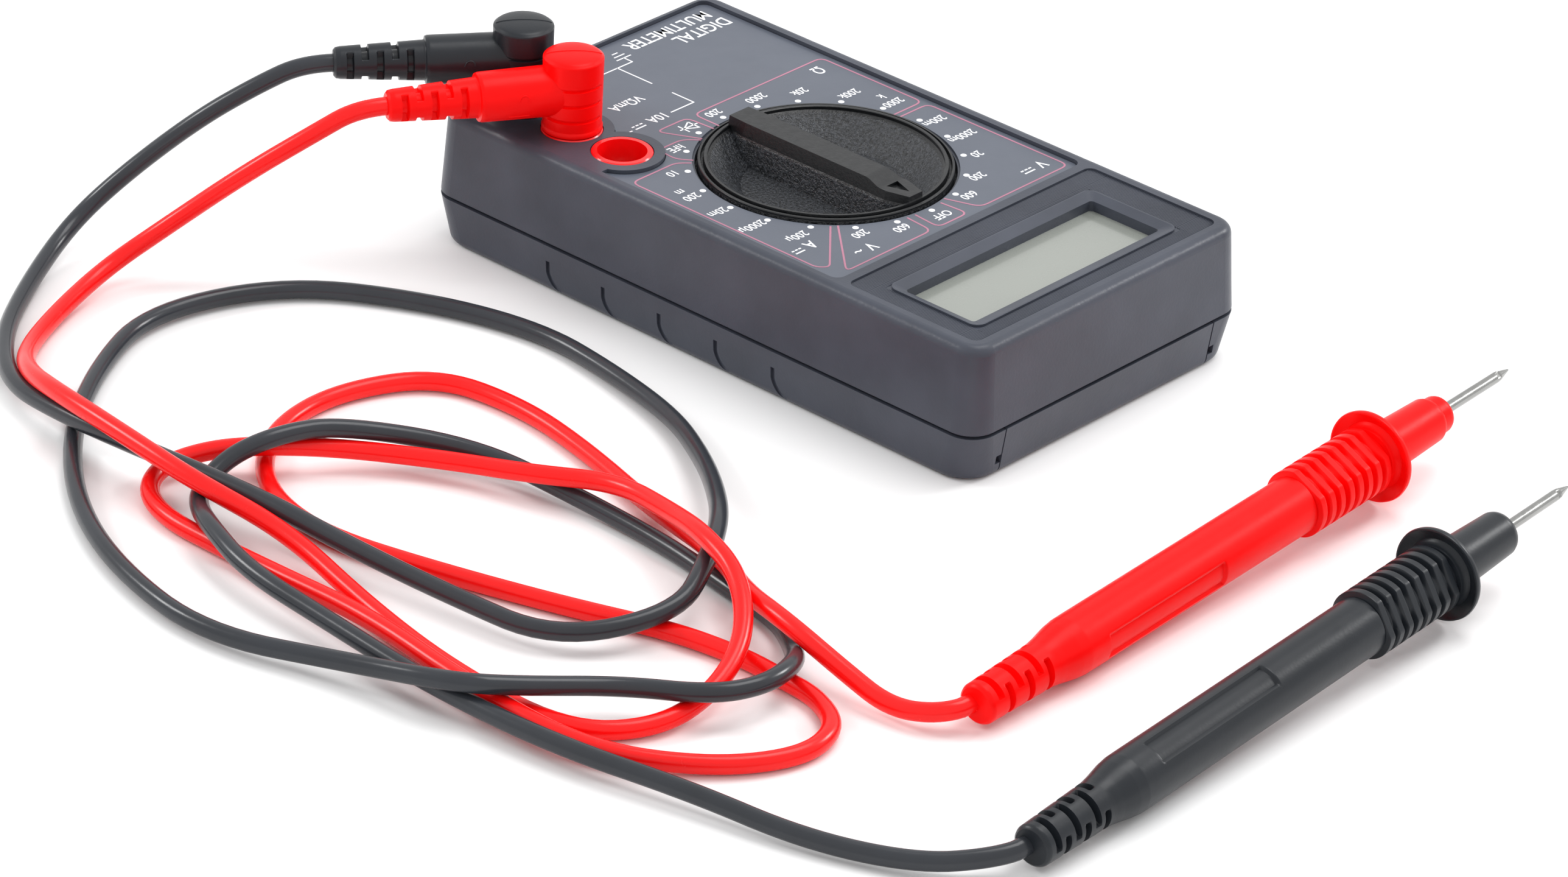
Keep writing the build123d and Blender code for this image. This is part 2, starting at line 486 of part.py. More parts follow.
# ---------------------------------------------------------------- battery
BATTERY_END = BATTERY_MIDDLE[0] - BATTERY[0] / 2
BATTERY_AXIS = BATTERY_BOTTOM + BATTERY[2] / 2
with BuildPart() as battery:
    rounded_slab((BATTERY_END, BATTERY_END + BATTERY[0], BATTERY_MIDDLE[1] - BATTERY[1] / 2,
                  BATTERY_MIDDLE[1] + BATTERY[1] / 2), 1.0, BATTERY_BOTTOM, BATTERY_BOTTOM + BATTERY[2])
    for radius, shift in ((2.85, -6.35), (3.9, 6.35)):
        with BuildSketch(Plane(origin=(BATTERY_END, BATTERY_MIDDLE[1] + shift, BATTERY_AXIS), x_dir=(0, 1, 0),
                               z_dir=(-1, 0, 0))):
            Circle(radius)
        extrude(amount=2.1)
finish(battery, "battery")

SNAP_FACE = BATTERY_END - 2.1
with BuildPart() as battery_snap:
    slab(SNAP_FACE - 2.0, SNAP_FACE, BATTERY_MIDDLE[1] - 12.6, BATTERY_MIDDLE[1] + 12.6, BATTERY_AXIS - 6.4,
         BATTERY_AXIS + 6.4)
finish(battery_snap, "battery_snap")

WIRE_X = SNAP_FACE - 1.0
for name, wire_z, landing in (("red", 13.4, 21.6), ("black", 10.8, 18.6)):
    start = (WIRE_X, BATTERY_MIDDLE[1] - 12.6, wire_z)
    with BuildPart() as battery_wire:
        with BuildLine() as wire_path:
            FilletPolyline(start, (WIRE_X, landing, wire_z), (WIRE_X, landing, BOARD_BOTTOM), radius=0.8)
        with BuildSketch(Plane(origin=start, z_dir=(0, -1, 0))):
            Circle(0.6)
        sweep()
    finish(battery_wire, f"battery_wire_{name}")

# ---------------------------------------------------------------- screws
for number, (x, y) in enumerate(CASE_SCREWS):
    with BuildPart() as case_screw:
        posts([(x, y)], 2.0, 0.8, 2.5)
        posts([(x, y)], 1.0, 2.5, 14.5)
        slab(x - 1.3, x + 1.3, y - 0.25, y + 0.25, 0.7, 1.5, Mode.SUBTRACT)
        slab(x - 0.25, x + 0.25, y - 1.3, y + 1.3, 0.7, 1.5, Mode.SUBTRACT)
    finish(case_screw, f"case_screw_{number + 1}")

with BuildPart() as board_screws:
    posts(BOARD_SCREWS, 1.7, BOARD_BOTTOM - 1.2, BOARD_BOTTOM)
    posts(BOARD_SCREWS, 0.85, BOARD_BOTTOM, 21.0)
finish(board_screws, "board_screws")


# ---------------------------------------------------------------- test leads
PLUG_RADIUS = 5.35
PLUG_HEIGHT = 14.5
PLUG_ARM_HEIGHT = 7.4      # axis of the side arm above the plug's shoulder
PLUG_REACH = 32.5          # from the plug's axis to the face the cord leaves
SHROUD_RADIUS = 4.15
SHROUD_BORE = 3.0
SHROUD_LENGTH = 15.0
PIN_RADIUS = CONTACT_BORE - 0.07
PROBE_LENGTH = 139.0
CORD_DEPTH = 78.0          # how far the cord runs inside the probe's handle, to the needle's end

PLUGS = {
    # jack, height of the plug's shoulder, heading of its arm in degrees from +X
    "red": ("volt_ohm", JACK_RING_TOP + 0.15, -31.0),
    "black": ("common", JACK_RING_TOP + 1.85, -39.0),
}
PROBES = {
    # centre of the face where the cord enters, and the point of the needle
    "red": ((90.1, 112.0, 4.2), (-48.4, 109.0, 9.9)),
    "black": ((114.9, 144.5, 4.2), (-23.6, 140.1, 9.9)),
}


def plug_outline():
    """Side arm of the plug: barrel, step and the tapered, notched relief."""
    barrel, relief, end = 4.5, 3.5, 2.85
    outline = [(0, 0), (0, barrel), (16.8, barrel - 0.15), (17.2, relief + 0.1)]
    segment = (PLUG_REACH - 17.2) / 3
    for number in range(3):
        begin = 17.2 + segment * number
        radius = relief - (relief - end) * number / 3
        outline += [(begin + 0.9, radius - 0.75), (begin + 1.5, radius - 0.75), (begin + 1.7, radius),
                    (begin + segment - 0.2, radius - 0.1), (begin + segment, radius - 0.2)]
    return outline + [(PLUG_REACH, 0)]


def make_plug(colour):
    """Right-angled safety plug: ringed head, side arm, insulating shroud and pin."""
    jack, shoulder, heading = PLUGS[colour]
    centre = Vector(JACK_X, JACK_Y[jack], 0)
    along = Vector(cos(radians(heading)), sin(radians(heading)), 0)
    arm = centre + Vector(0, 0, shoulder + PLUG_ARM_HEIGHT)
    with BuildPart() as plug:
        posts([(centre.X, centre.Y)], PLUG_RADIUS, shoulder, shoulder + PLUG_HEIGHT)
        fillet(plug.faces().sort_by(Axis.Z)[-1].edges(), 1.0)
        for ring in range(3):
            with BuildSketch(Plane.XY.offset(shoulder + 1.6 + 1.5 * ring)):
                with Locations((centre.X, centre.Y)):
                    Circle(PLUG_RADIUS + 1)
                    Circle(PLUG_RADIUS - 0.35, mode=Mode.SUBTRACT)
            extrude(amount=0.5, mode=Mode.SUBTRACT)
        turned(plug_outline(), arm, along, Vector(0, 0, 1))
        posts([(centre.X, centre.Y)], SHROUD_RADIUS, shoulder - SHROUD_LENGTH, shoulder)
        posts([(centre.X, centre.Y)], SHROUD_BORE, shoulder - SHROUD_LENGTH, shoulder, Mode.SUBTRACT)
        posts([(centre.X, centre.Y)], PIN_RADIUS, shoulder, shoulder + 5, Mode.SUBTRACT)
    finish(plug, f"{colour}_plug")
    with BuildPart() as pin:
        posts([(centre.X, centre.Y)], PIN_RADIUS, shoulder - SHROUD_LENGTH + 0.5, shoulder + 5)
        chamfer(pin.faces().sort_by(Axis.Z)[0].edges(), 0.6)
    finish(pin, f"{colour}_plug_pin")


def ribs(begin, end, count, low, high):
    """Outline points of evenly spaced ribs between two stations."""
    pitch = (end - begin) / count
    points = []
    for number in range(count):
        station = begin + pitch * number
        points += [(station, low), (station + 0.2 * pitch, high), (station + 0.7 * pitch, high),
                   (station + 0.9 * pitch, low)]
    return points + [(end, low)]


def make_probe(colour):
    """Probe: slotted relief and handle, ribbed grip with finger guard, nose and needle."""
    tail, tip = Vector(*PROBES[colour][0]), Vector(*PROBES[colour][1])
    along = (tip - tail).normalized()
    side = Vector(0, 0, 1).cross(along)
    bore = CORD_DIAMETER / 2
    handle_outline = [(CORD_DEPTH, 1.0), (CORD_DEPTH, bore), (4.5, bore), (0, bore + 0.7), (0, 3.4), (0.4, 3.7)]
    for number in range(4):
        begin = 0.4 + 3.6 * number
        handle_outline += [(begin + 2.3, 3.7), (begin + 2.5, 2.9), (begin + 3.4, 2.9), (begin + 3.6, 3.75)]
    handle_outline += [(15.6, 3.9), (22.0, 5.0), (23.0, 5.05), (80.0, 5.0), (80.0, 3.6), (104.0, 3.6), (104.0, 1.0)]
    with BuildPart() as handle:
        turned(handle_outline, tail, along, side)
        # sunk name strip, left plain
        with BuildSketch(Plane(origin=tail + along * 45 + along.cross(side) * -1 * 4.45, x_dir=along,
                               z_dir=along.cross(side) * -1)):
            SlotOverall(30, 4.6)
        extrude(amount=3, mode=Mode.SUBTRACT)
    finish(handle, f"{colour}_probe_handle")
    with BuildPart() as grip:
        turned([(80.0, 3.6)] + ribs(80.0, 99.6, 8, 4.9, 5.75) + [(99.6, 8.0), (99.9, 8.3), (101.6, 8.3), (102.0, 8.0),
               (102.0, 5.4), (104.0, 4.4), (104.0, 3.6)], tail, along, side)
    finish(grip, f"{colour}_probe_grip")
    with BuildPart() as nose:
        turned([(104.0, 1.0), (104.0, 4.2), (116.6, 3.9), (117.0, 3.5), (119.2, 3.4), (119.8, 2.9), (119.8, 1.0)],
               tail, along, side)
    finish(nose, f"{colour}_probe_nose")
    with BuildPart() as needle:
        turned([(CORD_DEPTH, 0), (CORD_DEPTH, 1.0), (134.6, 0.95), (135.0, 0.7), (135.6, 0.7), (136.0, 0.9),
                (PROBE_LENGTH - 0.1, 0.12), (PROBE_LENGTH, 0)], tail, along, side)
    finish(needle, f"{colour}_probe_needle")


# Routes of the two cords, from the plug's relief to the end of the needle inside the probe's handle:
# hand-placed points, in order.
ROUTES = {
    "red": [
        (50.96, -57.14, 32.85), (55.67, -59.97, 32.85), (61.7, -63.6, 29.2), (70.5, -72, 21.2),
        (77.8, -83, 10), (88, -88, 3.4), (103, -84, 1.7), (116.5, -77, 2.1), (125.3, -66.8, 5.6),
        (130.6, -53, 8.9), (132.5, -35, 9), (133.5, -18, 8), (129.7, 0.2, 4.4), (134, 22.5, 2),
        (138, 45.5, 1.65), (138.4, 70.6, 1.65), (127, 80, 1.65), (113.5, 79.5, 3), (102.5, 75, 6),
        (94, 65.5, 9.5), (90.5, 54.5, 11), (86, 43.5, 8.5), (82.5, 28.5, 6.5), (89, 14.5, 5),
        (93.5, 0.5, 3.5), (103.5, -15, 3.5), (115.5, -22.5, 5.5), (120.5, -29, 3.8), (127.5, -31.8, 2.6),
        (134, -28.5, 1.8), (137.5, -20, 1.65), (137.5, -7.5, 1.65), (138, 6.5, 2.5), (138, 28, 3.5),
        (141.5, 52.5, 3.5), (141, 77.5, 2.5), (130, 93, 1.65), (117.5, 101, 1.65), (107.5, 99, 1.65),
        (103, 91, 1.65), (102.6, 83, 1.65), (102.3, 74, 1.65), (104.5, 61, 1.65), (111, 44.5, 1.65),
        (118, 22.5, 1.65), (123, 2.5, 1.65), (121, -12, 1.65), (113.5, -23, 1.65), (102, -30, 1.65),
        (87.5, -31, 1.65), (72, -23.5, 1.65), (69.5, -6, 1.65), (72.5, 11.5, 1.65), (79, 33, 2),
        (85.5, 54.5, 4.5), (92.5, 65, 6), (96.5, 78, 7.3), (97, 91, 4), (97.6, 101, 2.1),
        (95.2, 109, 3.4), (88.9, 111.97, 4.25), (12.18, 110.31, 7.41),
    ],
    "black": [
        (48.36, -72.85, 34.55), (52.63, -76.31, 34.55), (58.5, -81, 31), (66, -88.3, 24.3),
        (73.5, -98.7, 12.6), (82.5, -103, 4.4), (99, -95.5, 1.7), (115.5, -84, 1.8), (127, -69.5, 3),
        (130, -54, 4.8), (130.5, -34.5, 6.3), (127.8, -8, 6.5), (126, 11.5, 4.5), (124, 31, 3.5),
        (121.5, 52, 3), (104, 62, 5), (91.5, 56.5, 7.5), (80.5, 49, 7.5), (71, 39, 5.5), (62.5, 28, 3.5),
        (55, 15, 2.5), (50.5, -3, 2), (48, -22.5, 1.65), (54.5, -44, 1.65), (68, -65, 1.65),
        (92.5, -73, 2), (112, -64.5, 1.65), (130, -51, 1.65), (145, -33, 1.65), (154.5, -12.5, 2),
        (158.5, 11.5, 2), (150, 35, 3.5), (147, 55.5, 7.5), (138, 62, 6), (125.5, 70.5, 4.5),
        (119.5, 83.5, 6), (111.5, 87.5, 6.2), (102.5, 85.5, 5.4), (95.5, 79, 2.2), (90, 70.5, 1.65),
        (88.5, 59, 1.65), (85.5, 43, 1.65), (85, 22, 2), (87, 0.5, 3.5), (102.5, -16, 7),
        (113.5, -19, 8.2), (121.5, -22.5, 5.6), (128.5, -21.5, 2.8), (134.5, -15.5, 4.3), (139, -8, 5.8),
        (143.5, 5.5, 5), (144, 24.5, 4), (145.5, 47.5, 3.5), (144.4, 73.7, 3.5), (138.5, 97, 3),
        (135, 117, 2), (128, 133.5, 2.1), (120.2, 141.8, 3.4), (113.7, 144.46, 4.25), (37.01, 142.03, 7.41),
    ],
}


def make_cord(colour):
    """Cord: straight runs joined by tangent arcs, each as large as its two runs allow."""
    points = [Vector(*point) for point in ROUTES[colour]]
    radii = []
    for before, here, after in zip(points, points[1:], points[2:]):
        turn = (here - before).get_angle(after - here)
        shorter = min((here - before).length, (after - here).length)
        radii.append(ARC_SHARE * shorter / tan(radians(turn / 2)))
    with BuildPart() as cord:
        with BuildLine() as path:
            FilletPolyline(*points, radius=radii)
        with BuildSketch(Plane(origin=path.line @ 0, z_dir=path.line % 0)):
            Circle(CORD_DIAMETER / 2)
        sweep()
    finish(cord, f"{colour}_cord")
    length = path.wires()[0].length
    share = cord.part.volume / (length * pi * CORD_DIAMETER ** 2 / 4)
    print(f"{colour} cord: length {length:.0f} mm, volume over section times length {share:.4f}")
    print("  arc radii", " ".join(f"{radius:.0f}" for radius in radii))


for lead_colour in ("red", "black"):
    make_plug(lead_colour)
    make_probe(lead_colour)
    make_cord(lead_colour)
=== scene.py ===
"""Looks of the hand-held multimeter: moulded plastics, printed panel, detailed plugs, probes and cords.

Lengths in the tables are millimetres, as in the CAD model, and MM turns them into metres.
"""
import bpy
from math import atan2, cos, pi, radians, sin
from mathutils import Matrix, Vector


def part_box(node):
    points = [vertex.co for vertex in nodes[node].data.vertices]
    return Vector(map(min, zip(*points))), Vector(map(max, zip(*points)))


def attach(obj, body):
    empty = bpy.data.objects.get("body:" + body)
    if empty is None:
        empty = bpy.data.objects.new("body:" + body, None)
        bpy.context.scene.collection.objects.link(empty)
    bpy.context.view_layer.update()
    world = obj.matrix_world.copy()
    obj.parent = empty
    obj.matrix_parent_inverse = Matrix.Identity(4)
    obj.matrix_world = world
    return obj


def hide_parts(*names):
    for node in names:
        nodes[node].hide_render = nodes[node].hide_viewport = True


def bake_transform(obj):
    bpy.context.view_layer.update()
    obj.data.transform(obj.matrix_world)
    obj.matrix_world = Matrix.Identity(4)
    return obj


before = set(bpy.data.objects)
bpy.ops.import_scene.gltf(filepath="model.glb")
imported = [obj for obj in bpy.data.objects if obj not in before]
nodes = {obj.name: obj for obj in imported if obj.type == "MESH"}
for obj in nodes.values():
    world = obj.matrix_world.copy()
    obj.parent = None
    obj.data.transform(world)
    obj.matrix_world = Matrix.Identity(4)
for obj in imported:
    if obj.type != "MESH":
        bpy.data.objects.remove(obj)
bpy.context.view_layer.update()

MM = 0.001
UP = Vector((0, 0, 1))


# ------------------------------------------------------------------ camera and light
AZIMUTH = radians(131.34)
ELEVATION = radians(29.07)
ROLL = radians(2.45)
CAMERA_PLACE = Vector((0.78281, 0.67964, 0.54735))
LENS = 155.64

back = Vector((sin(AZIMUTH) * cos(ELEVATION), -cos(AZIMUTH) * cos(ELEVATION), sin(ELEVATION)))
right = UP.cross(back).normalized()
camera_up = back.cross(right)
turned_right = right * cos(ROLL) + camera_up * sin(ROLL)
turned_up = camera_up * cos(ROLL) - right * sin(ROLL)
camera_data = bpy.data.cameras.new("camera")
camera_data.lens = LENS
camera_data.clip_end = 20
camera = bpy.data.objects.new("camera", camera_data)
axes = Matrix((turned_right, turned_up, back)).transposed()
camera.matrix_world = Matrix.Translation(CAMERA_PLACE) @ axes.to_4x4()
bpy.context.scene.collection.objects.link(camera)
bpy.context.scene.camera = camera
bpy.context.scene.view_settings.view_transform = "Standard"

world = bpy.data.worlds.new("studio")
world.use_nodes = True
world.node_tree.nodes["Background"].inputs["Color"].default_value = (1.0, 1.0, 1.0, 1)
world.node_tree.nodes["Background"].inputs["Strength"].default_value = 1.0
bpy.context.scene.world = world


def area_light(name, place, aim, size, power):
    """A soft square light at a place, aimed at a point."""
    data = bpy.data.lights.new(name, "AREA")
    data.size = size
    data.energy = power
    lamp = bpy.data.objects.new(name, data)
    lamp.location = place
    lamp.rotation_euler = (Vector(aim) - Vector(place)).to_track_quat("-Z", "Y").to_euler()
    bpy.context.scene.collection.objects.link(lamp)


area_light("overhead", (-0.25, 0.1, 0.9), (0.03, 0.02, 0), 0.5, 3.4)
area_light("side", (0.5, -0.75, 0.6), (0.05, 0, 0), 0.25, 3.0)
area_light("strip", (-0.75, 0.35, 0.5), (0.05, 0.02, 0), 0.22, 3.0)


# ------------------------------------------------------------------ materials
def material(name):
    """A new node material: its tree, shader and coordinates, and helpers for noise and for its range."""
    made = bpy.data.materials.new(name)
    made.use_nodes = True
    tree = made.node_tree
    shader = tree.nodes["Principled BSDF"]
    place = tree.nodes.new("ShaderNodeTexCoord")

    def noise(scale, detail, roughness=0.55):
        node = tree.nodes.new("ShaderNodeTexNoise")
        node.inputs["Scale"].default_value = scale
        node.inputs["Detail"].default_value = detail
        node.inputs["Roughness"].default_value = roughness
        tree.links.new(place.outputs["Object"], node.inputs["Vector"])
        return node.outputs["Fac"]

    def spread(source, low, high, low_in=0.3, high_in=0.7):
        node = tree.nodes.new("ShaderNodeMapRange")
        node.inputs["From Min"].default_value = low_in
        node.inputs["From Max"].default_value = high_in
        node.inputs["To Min"].default_value = low
        node.inputs["To Max"].default_value = high
        tree.links.new(source, node.inputs["Value"])
        return node.outputs["Result"]

    return made, tree, shader, place, noise, spread


def tint(tree, shader, source, dark, light):
    """Base colour that drifts between two colours with a texture."""
    mix = tree.nodes.new("ShaderNodeMix")
    mix.data_type = "RGBA"
    mix.inputs[6].default_value = (*dark, 1)
    mix.inputs[7].default_value = (*light, 1)
    tree.links.new(source, mix.inputs[0])
    tree.links.new(mix.outputs[2], shader.inputs["Base Color"])


def bump(tree, shader, source, depth):
    """Raises the surface by a texture, to a depth in metres."""
    node = tree.nodes.new("ShaderNodeBump")
    node.inputs["Strength"].default_value = 1.0
    node.inputs["Distance"].default_value = depth
    tree.links.new(source, node.inputs["Height"])
    tree.links.new(node.outputs["Normal"], shader.inputs["Normal"])


def moulded(name, colour, rough, grain=0.0004, depth=0.00002, drift=0.12, coat=0.0, gloss=0.3):
    """Moulded plastic with slightly uneven gloss and colour; grain and its depth are in metres."""
    made, tree, shader, place, noise, spread = material(name)
    dark = [c * (1 - drift) for c in colour]
    light = [min(1, c * (1 + drift)) for c in colour]
    tint(tree, shader, spread(noise(60, 4), 0, 1), dark, light)
    tree.links.new(spread(noise(260, 5), rough - 0.03, rough + 0.04), shader.inputs["Roughness"])
    bump(tree, shader, noise(1 / grain, 2), depth)
    shader.inputs["Specular IOR Level"].default_value = gloss
    if coat:
        shader.inputs["Coat Weight"].default_value = coat
        shader.inputs["Coat Roughness"].default_value = 0.12
    return made


def metal(name, colour, rough):
    """Plated or drawn metal with faint scratches."""
    made, tree, shader, place, noise, spread = material(name)
    shader.inputs["Metallic"].default_value = 1.0
    dark = [c * 0.9 for c in colour]
    tint(tree, shader, spread(noise(300, 4), 0, 1), dark, colour)
    tree.links.new(spread(noise(900, 5), rough - 0.05, rough + 0.08), shader.inputs["Roughness"])
    bump(tree, shader, noise(5000, 3), 0.000005)
    return made


DISH_HEIGHTS = (0.0242, 0.0247)     # the knob's coarse texture fades out between these heights


def knob_finish():
    """Satin black plastic with coarse spark erosion in the dish below the knob's ridges; the erosion's light speckles
    are painted glints.
    """
    made, tree, shader, place, noise, spread = material("knob_satin")
    axes = tree.nodes.new("ShaderNodeSeparateXYZ")
    tree.links.new(place.outputs["Object"], axes.inputs["Vector"])
    dish = spread(axes.outputs["Z"], 1.0, 0.12, *DISH_HEIGHTS)
    product = tree.nodes.new("ShaderNodeMath")
    product.operation = "MULTIPLY"
    tree.links.new(noise(1900, 2, 0.75), product.inputs[0])
    tree.links.new(dish, product.inputs[1])
    bump(tree, shader, product.outputs["Value"], 0.0003)
    # lighter speckles in the dish: painted glints of light on the eroded grain, over the plastic's own black
    glint_speckle = spread(product.outputs["Value"], 0, 1, 0.38, 0.68)
    tint(tree, shader, glint_speckle, (0.004, 0.0048, 0.006), (0.045, 0.049, 0.058))
    tree.links.new(spread(noise(700, 4), 0.3, 0.44), shader.inputs["Roughness"])
    return made


CHARCOAL = (0.050, 0.056, 0.074)
RED = (0.94, 0.002, 0.002)
BLACK = (0.012, 0.0145, 0.0185)
case_plastic = moulded("case_charcoal", CHARCOAL, 0.36, grain=0.0006, depth=0.000022, drift=0.15)
panel_plastic = moulded("panel_grey", (0.086, 0.098, 0.126), 0.38,
                        grain=0.0003, depth=0.000006, drift=0.05, gloss=0.5)
knob_plastic = knob_finish()
recess_plastic = moulded("recess_black", (0.012, 0.012, 0.014), 0.5, grain=0.0003)
lead_plastic = {
    "red": moulded("lead_red", RED, 0.34, grain=0.0006, depth=0.000012, drift=0.03, gloss=0.12),
    "black": moulded("lead_black", BLACK, 0.33, grain=0.0006, depth=0.000012),
}
jacket = {
    "red": moulded("jacket_red", (0.92, 0.004, 0.004), 0.24, grain=0.003, drift=0.05),
    "black": moulded("jacket_black", (0.026, 0.029, 0.035), 0.22, grain=0.003, gloss=0.36),
}
jack_plastic = {
    "red": moulded("jack_red", (0.94, 0.003, 0.004), 0.3, grain=0.0008, depth=0.00001, drift=0.05, coat=0.4),
    "black": moulded("jack_black", (0.014, 0.014, 0.016), 0.32, grain=0.0008, depth=0.00001),
}
bright_steel = metal("bright_steel", (0.34, 0.34, 0.33), 0.2)
dull_steel = metal("zinc_steel", (0.62, 0.62, 0.63), 0.32)
brass = metal("brass", (0.80, 0.60, 0.30), 0.28)
nickel = metal("nickel", (0.70, 0.66, 0.58), 0.25)
ink_white = moulded("ink_white", (0.80, 0.81, 0.83), 0.5, grain=0.0002, depth=0.000004, drift=0.05)
ink_pink = moulded("ink_pink", (0.40, 0.17, 0.24), 0.5, grain=0.0002, depth=0.000004, drift=0.1)
laminate = moulded("board_laminate", (0.46, 0.30, 0.10), 0.38, grain=0.0009, depth=0.00001, drift=0.25, coat=0.3)
elastomer = moulded("elastomer", (0.05, 0.05, 0.05), 0.6)
epoxy = moulded("epoxy_black", (0.01, 0.01, 0.01), 0.15, grain=0.002, drift=0.1, coat=0.5)
blue_plastic = moulded("trimmer_blue", (0.03, 0.10, 0.36), 0.35)
sleeve_navy = moulded("sleeve_navy", (0.02, 0.025, 0.07), 0.28, grain=0.001, depth=0.00001, drift=0.1, coat=0.3)
lacquer_tan = moulded("lacquer_tan", (0.56, 0.42, 0.24), 0.35, grain=0.0005)
battery_wrap = moulded("battery_wrap", (0.10, 0.115, 0.14), 0.3, grain=0.002, depth=0.00001, drift=0.2, coat=0.4)
fuse_glass = moulded("fuse_glass", (0.62, 0.66, 0.66), 0.1, grain=0.002, depth=0.000004, drift=0.1, coat=0.6)


def lcd_finish():
    """Grey-green liquid crystal glass, very slightly mottled."""
    made, tree, shader, place, noise, spread = material("lcd_glass")
    tint(tree, shader, spread(noise(28, 1), 0, 1), (0.21, 0.225, 0.205), (0.25, 0.265, 0.24))
    tree.links.new(spread(noise(500, 4), 0.22, 0.3), shader.inputs["Roughness"])
    shader.inputs["Coat Weight"].default_value = 0.5
    shader.inputs["Coat Roughness"].default_value = 0.08
    bump(tree, shader, noise(1500, 2), 0.000002)
    return made


lcd_glass = lcd_finish()

FINISHES = {
    "front_case": case_plastic, "rear_case": case_plastic, "battery_door": case_plastic,
    "face_panel": panel_plastic, "range_knob": knob_plastic, "lcd_glass": lcd_glass,
    "lcd_holder": recess_plastic, "battery_snap": recess_plastic, "board_header": recess_plastic,
    "zebra_strip": elastomer, "main_board": laminate, "display_board": laminate,
    "switch_tracks": brass, "shunt_wire": brass, "adc_chip": epoxy, "trimmer": blue_plastic,
    "fuse": fuse_glass, "battery": battery_wrap, "board_screws": dull_steel,
    "battery_wire_red": jacket["red"], "battery_wire_black": jacket["black"],
    "jack_sleeve_ten_amp": jack_plastic["red"], "jack_sleeve_volt_ohm": jack_plastic["red"],
    "jack_sleeve_common": jack_plastic["black"],
}
PREFIX_FINISHES = {
    "capacitor": sleeve_navy, "resistor": lacquer_tan, "case_screw": dull_steel, "detent": dull_steel,
    "contact_wiper": brass, "fuse_clip": brass, "jack_contact": nickel,
}
for name, node in nodes.items():
    finish = FINISHES.get(name)
    for prefix, shared in PREFIX_FINISHES.items():
        if name.startswith(prefix):
            finish = shared
    if name.endswith(("plug_pin", "needle")):
        finish = bright_steel
    if finish:
        node.data.materials.clear()
        node.data.materials.append(finish)


def floor():
    """Large pale floor under the object."""
    made, tree, shader, place, noise, spread = material("floor_white")
    tint(tree, shader, spread(noise(3, 2), 0, 1), (0.88, 0.88, 0.88), (0.91, 0.91, 0.91))
    tree.links.new(spread(noise(40, 3), 0.6, 0.75), shader.inputs["Roughness"])
    half = 6.0
    low = -0.1 * MM            # just clear of the meter's own flat underside
    corners = [(-half, -half, low), (half, -half, low), (half, half, low), (-half, half, low)]
    mesh = bpy.data.meshes.new("floor")
    mesh.from_pydata(corners, [], [(0, 1, 2, 3)])
    mesh.materials.append(made)
    plane = bpy.data.objects.new("floor", mesh)
    bpy.context.scene.collection.objects.link(plane)


floor()


# ------------------------------------------------------------------ mesh helpers
def add_piece(name, verts, faces, finish, slot, body="multimeter", sharp=35):
    """A smooth-shaded mesh piece, sharp at its folds, on a body."""
    mesh = bpy.data.meshes.new(name)
    mesh.from_pydata(verts, [], faces)
    mesh.materials.append(finish)
    mesh.polygons.foreach_set("use_smooth", [True] * len(mesh.polygons))
    mesh.set_sharp_from_angle(angle=radians(sharp))
    piece = bpy.data.objects.new(name, mesh)
    bpy.context.scene.collection.objects.link(piece)
    if body:
        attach(piece, body)
    return piece


def ring_faces(rings, sides):
    """Faces between rings of vertices that follow each other, with a flat cap at both ends."""
    faces = []
    for ring in range(rings - 1):
        for step in range(sides):
            following = (step + 1) % sides
            faces.append((ring * sides + step, ring * sides + following,
                          (ring + 1) * sides + following, (ring + 1) * sides + step))
    faces.append(tuple(reversed(range(sides))))
    faces.append(tuple(range((rings - 1) * sides, rings * sides)))
    return faces


def lathe(outline, origin, along, side, shape=None, sides=96):
    """Vertices and faces of an outline of (station, radius) turned about an axis; shape may alter the radius."""
    across = along.cross(side)
    verts = []
    for station, radius in outline:
        for step in range(sides):
            angle = 2 * pi * step / sides
            reach = shape(station, angle, radius) if shape else radius
            offset = side * (cos(angle) * reach) + across * (sin(angle) * reach)
            verts.append((origin + along * station + offset) * MM)
    return verts, ring_faces(len(outline), sides)


def resample(outline, step):
    """Adds stations to an outline so that none are further apart than a step."""
    result = [outline[0]]
    for (s0, r0), (s1, r1) in zip(outline, outline[1:]):
        count = max(1, int(abs(s1 - s0) / step))
        for number in range(1, count + 1):
            share = number / count
            result.append((s0 + (s1 - s0) * share, r0 + (r1 - r0) * share))
    return result


def smooth_step(value, low, high):
    """0 below low, 1 above high and a smooth rise between them."""
    share = min(1, max(0, (value - low) / (high - low)))
    return share * share * (3 - 2 * share)


def angle_between(first, second):
    """Smallest angle between two directions, in radians."""
    return abs((first - second + pi) % (2 * pi) - pi)


# ------------------------------------------------------------------ panel print
SHEET_TOP = 24.5
INK = 0.03
KNOB_CENTRE = Vector((0, -2.1, 0))
CAPITAL_SHARE = 0.73       # capital height over the size of Blender's own font
LETTER_WIDTH = 0.84        # the lettering is a little narrower than that font
DIAL_LETTERS = 1.95        # height of the dial's capitals and numbers
DOT_RING = 24.15
DOT_RADIUS = 0.56
DOT_COUNT = 20
DIAL_LABELS = [
    # text, distance from the knob's axis, direction in degrees from +X
    ("600", 26.4, 109.6), ("200", 26.1, 125.8), ("20", 26.6, 144.3), ("2000m", 26.7, 159.9), ("200m", 26.0, 175.6),
    ("2000", 27.1, 196.5), ("200k", 27.5, 213.7), ("20k", 27.7, 231.9), ("2000", 27.1, 249), ("200", 26.4, 270),
    ("hFE", 26.0, 304.5), ("10", 27.0, 325.4), ("200", 27.0, 344.8), ("20m", 26.9, 359.6), ("2000\u00b5", 27.5, 15.6),
    ("200\u00b5", 28, 32.4), ("200", 26.5, 54.8), ("600", 26.5, 71), ("OFF", 26.6, 90),
]
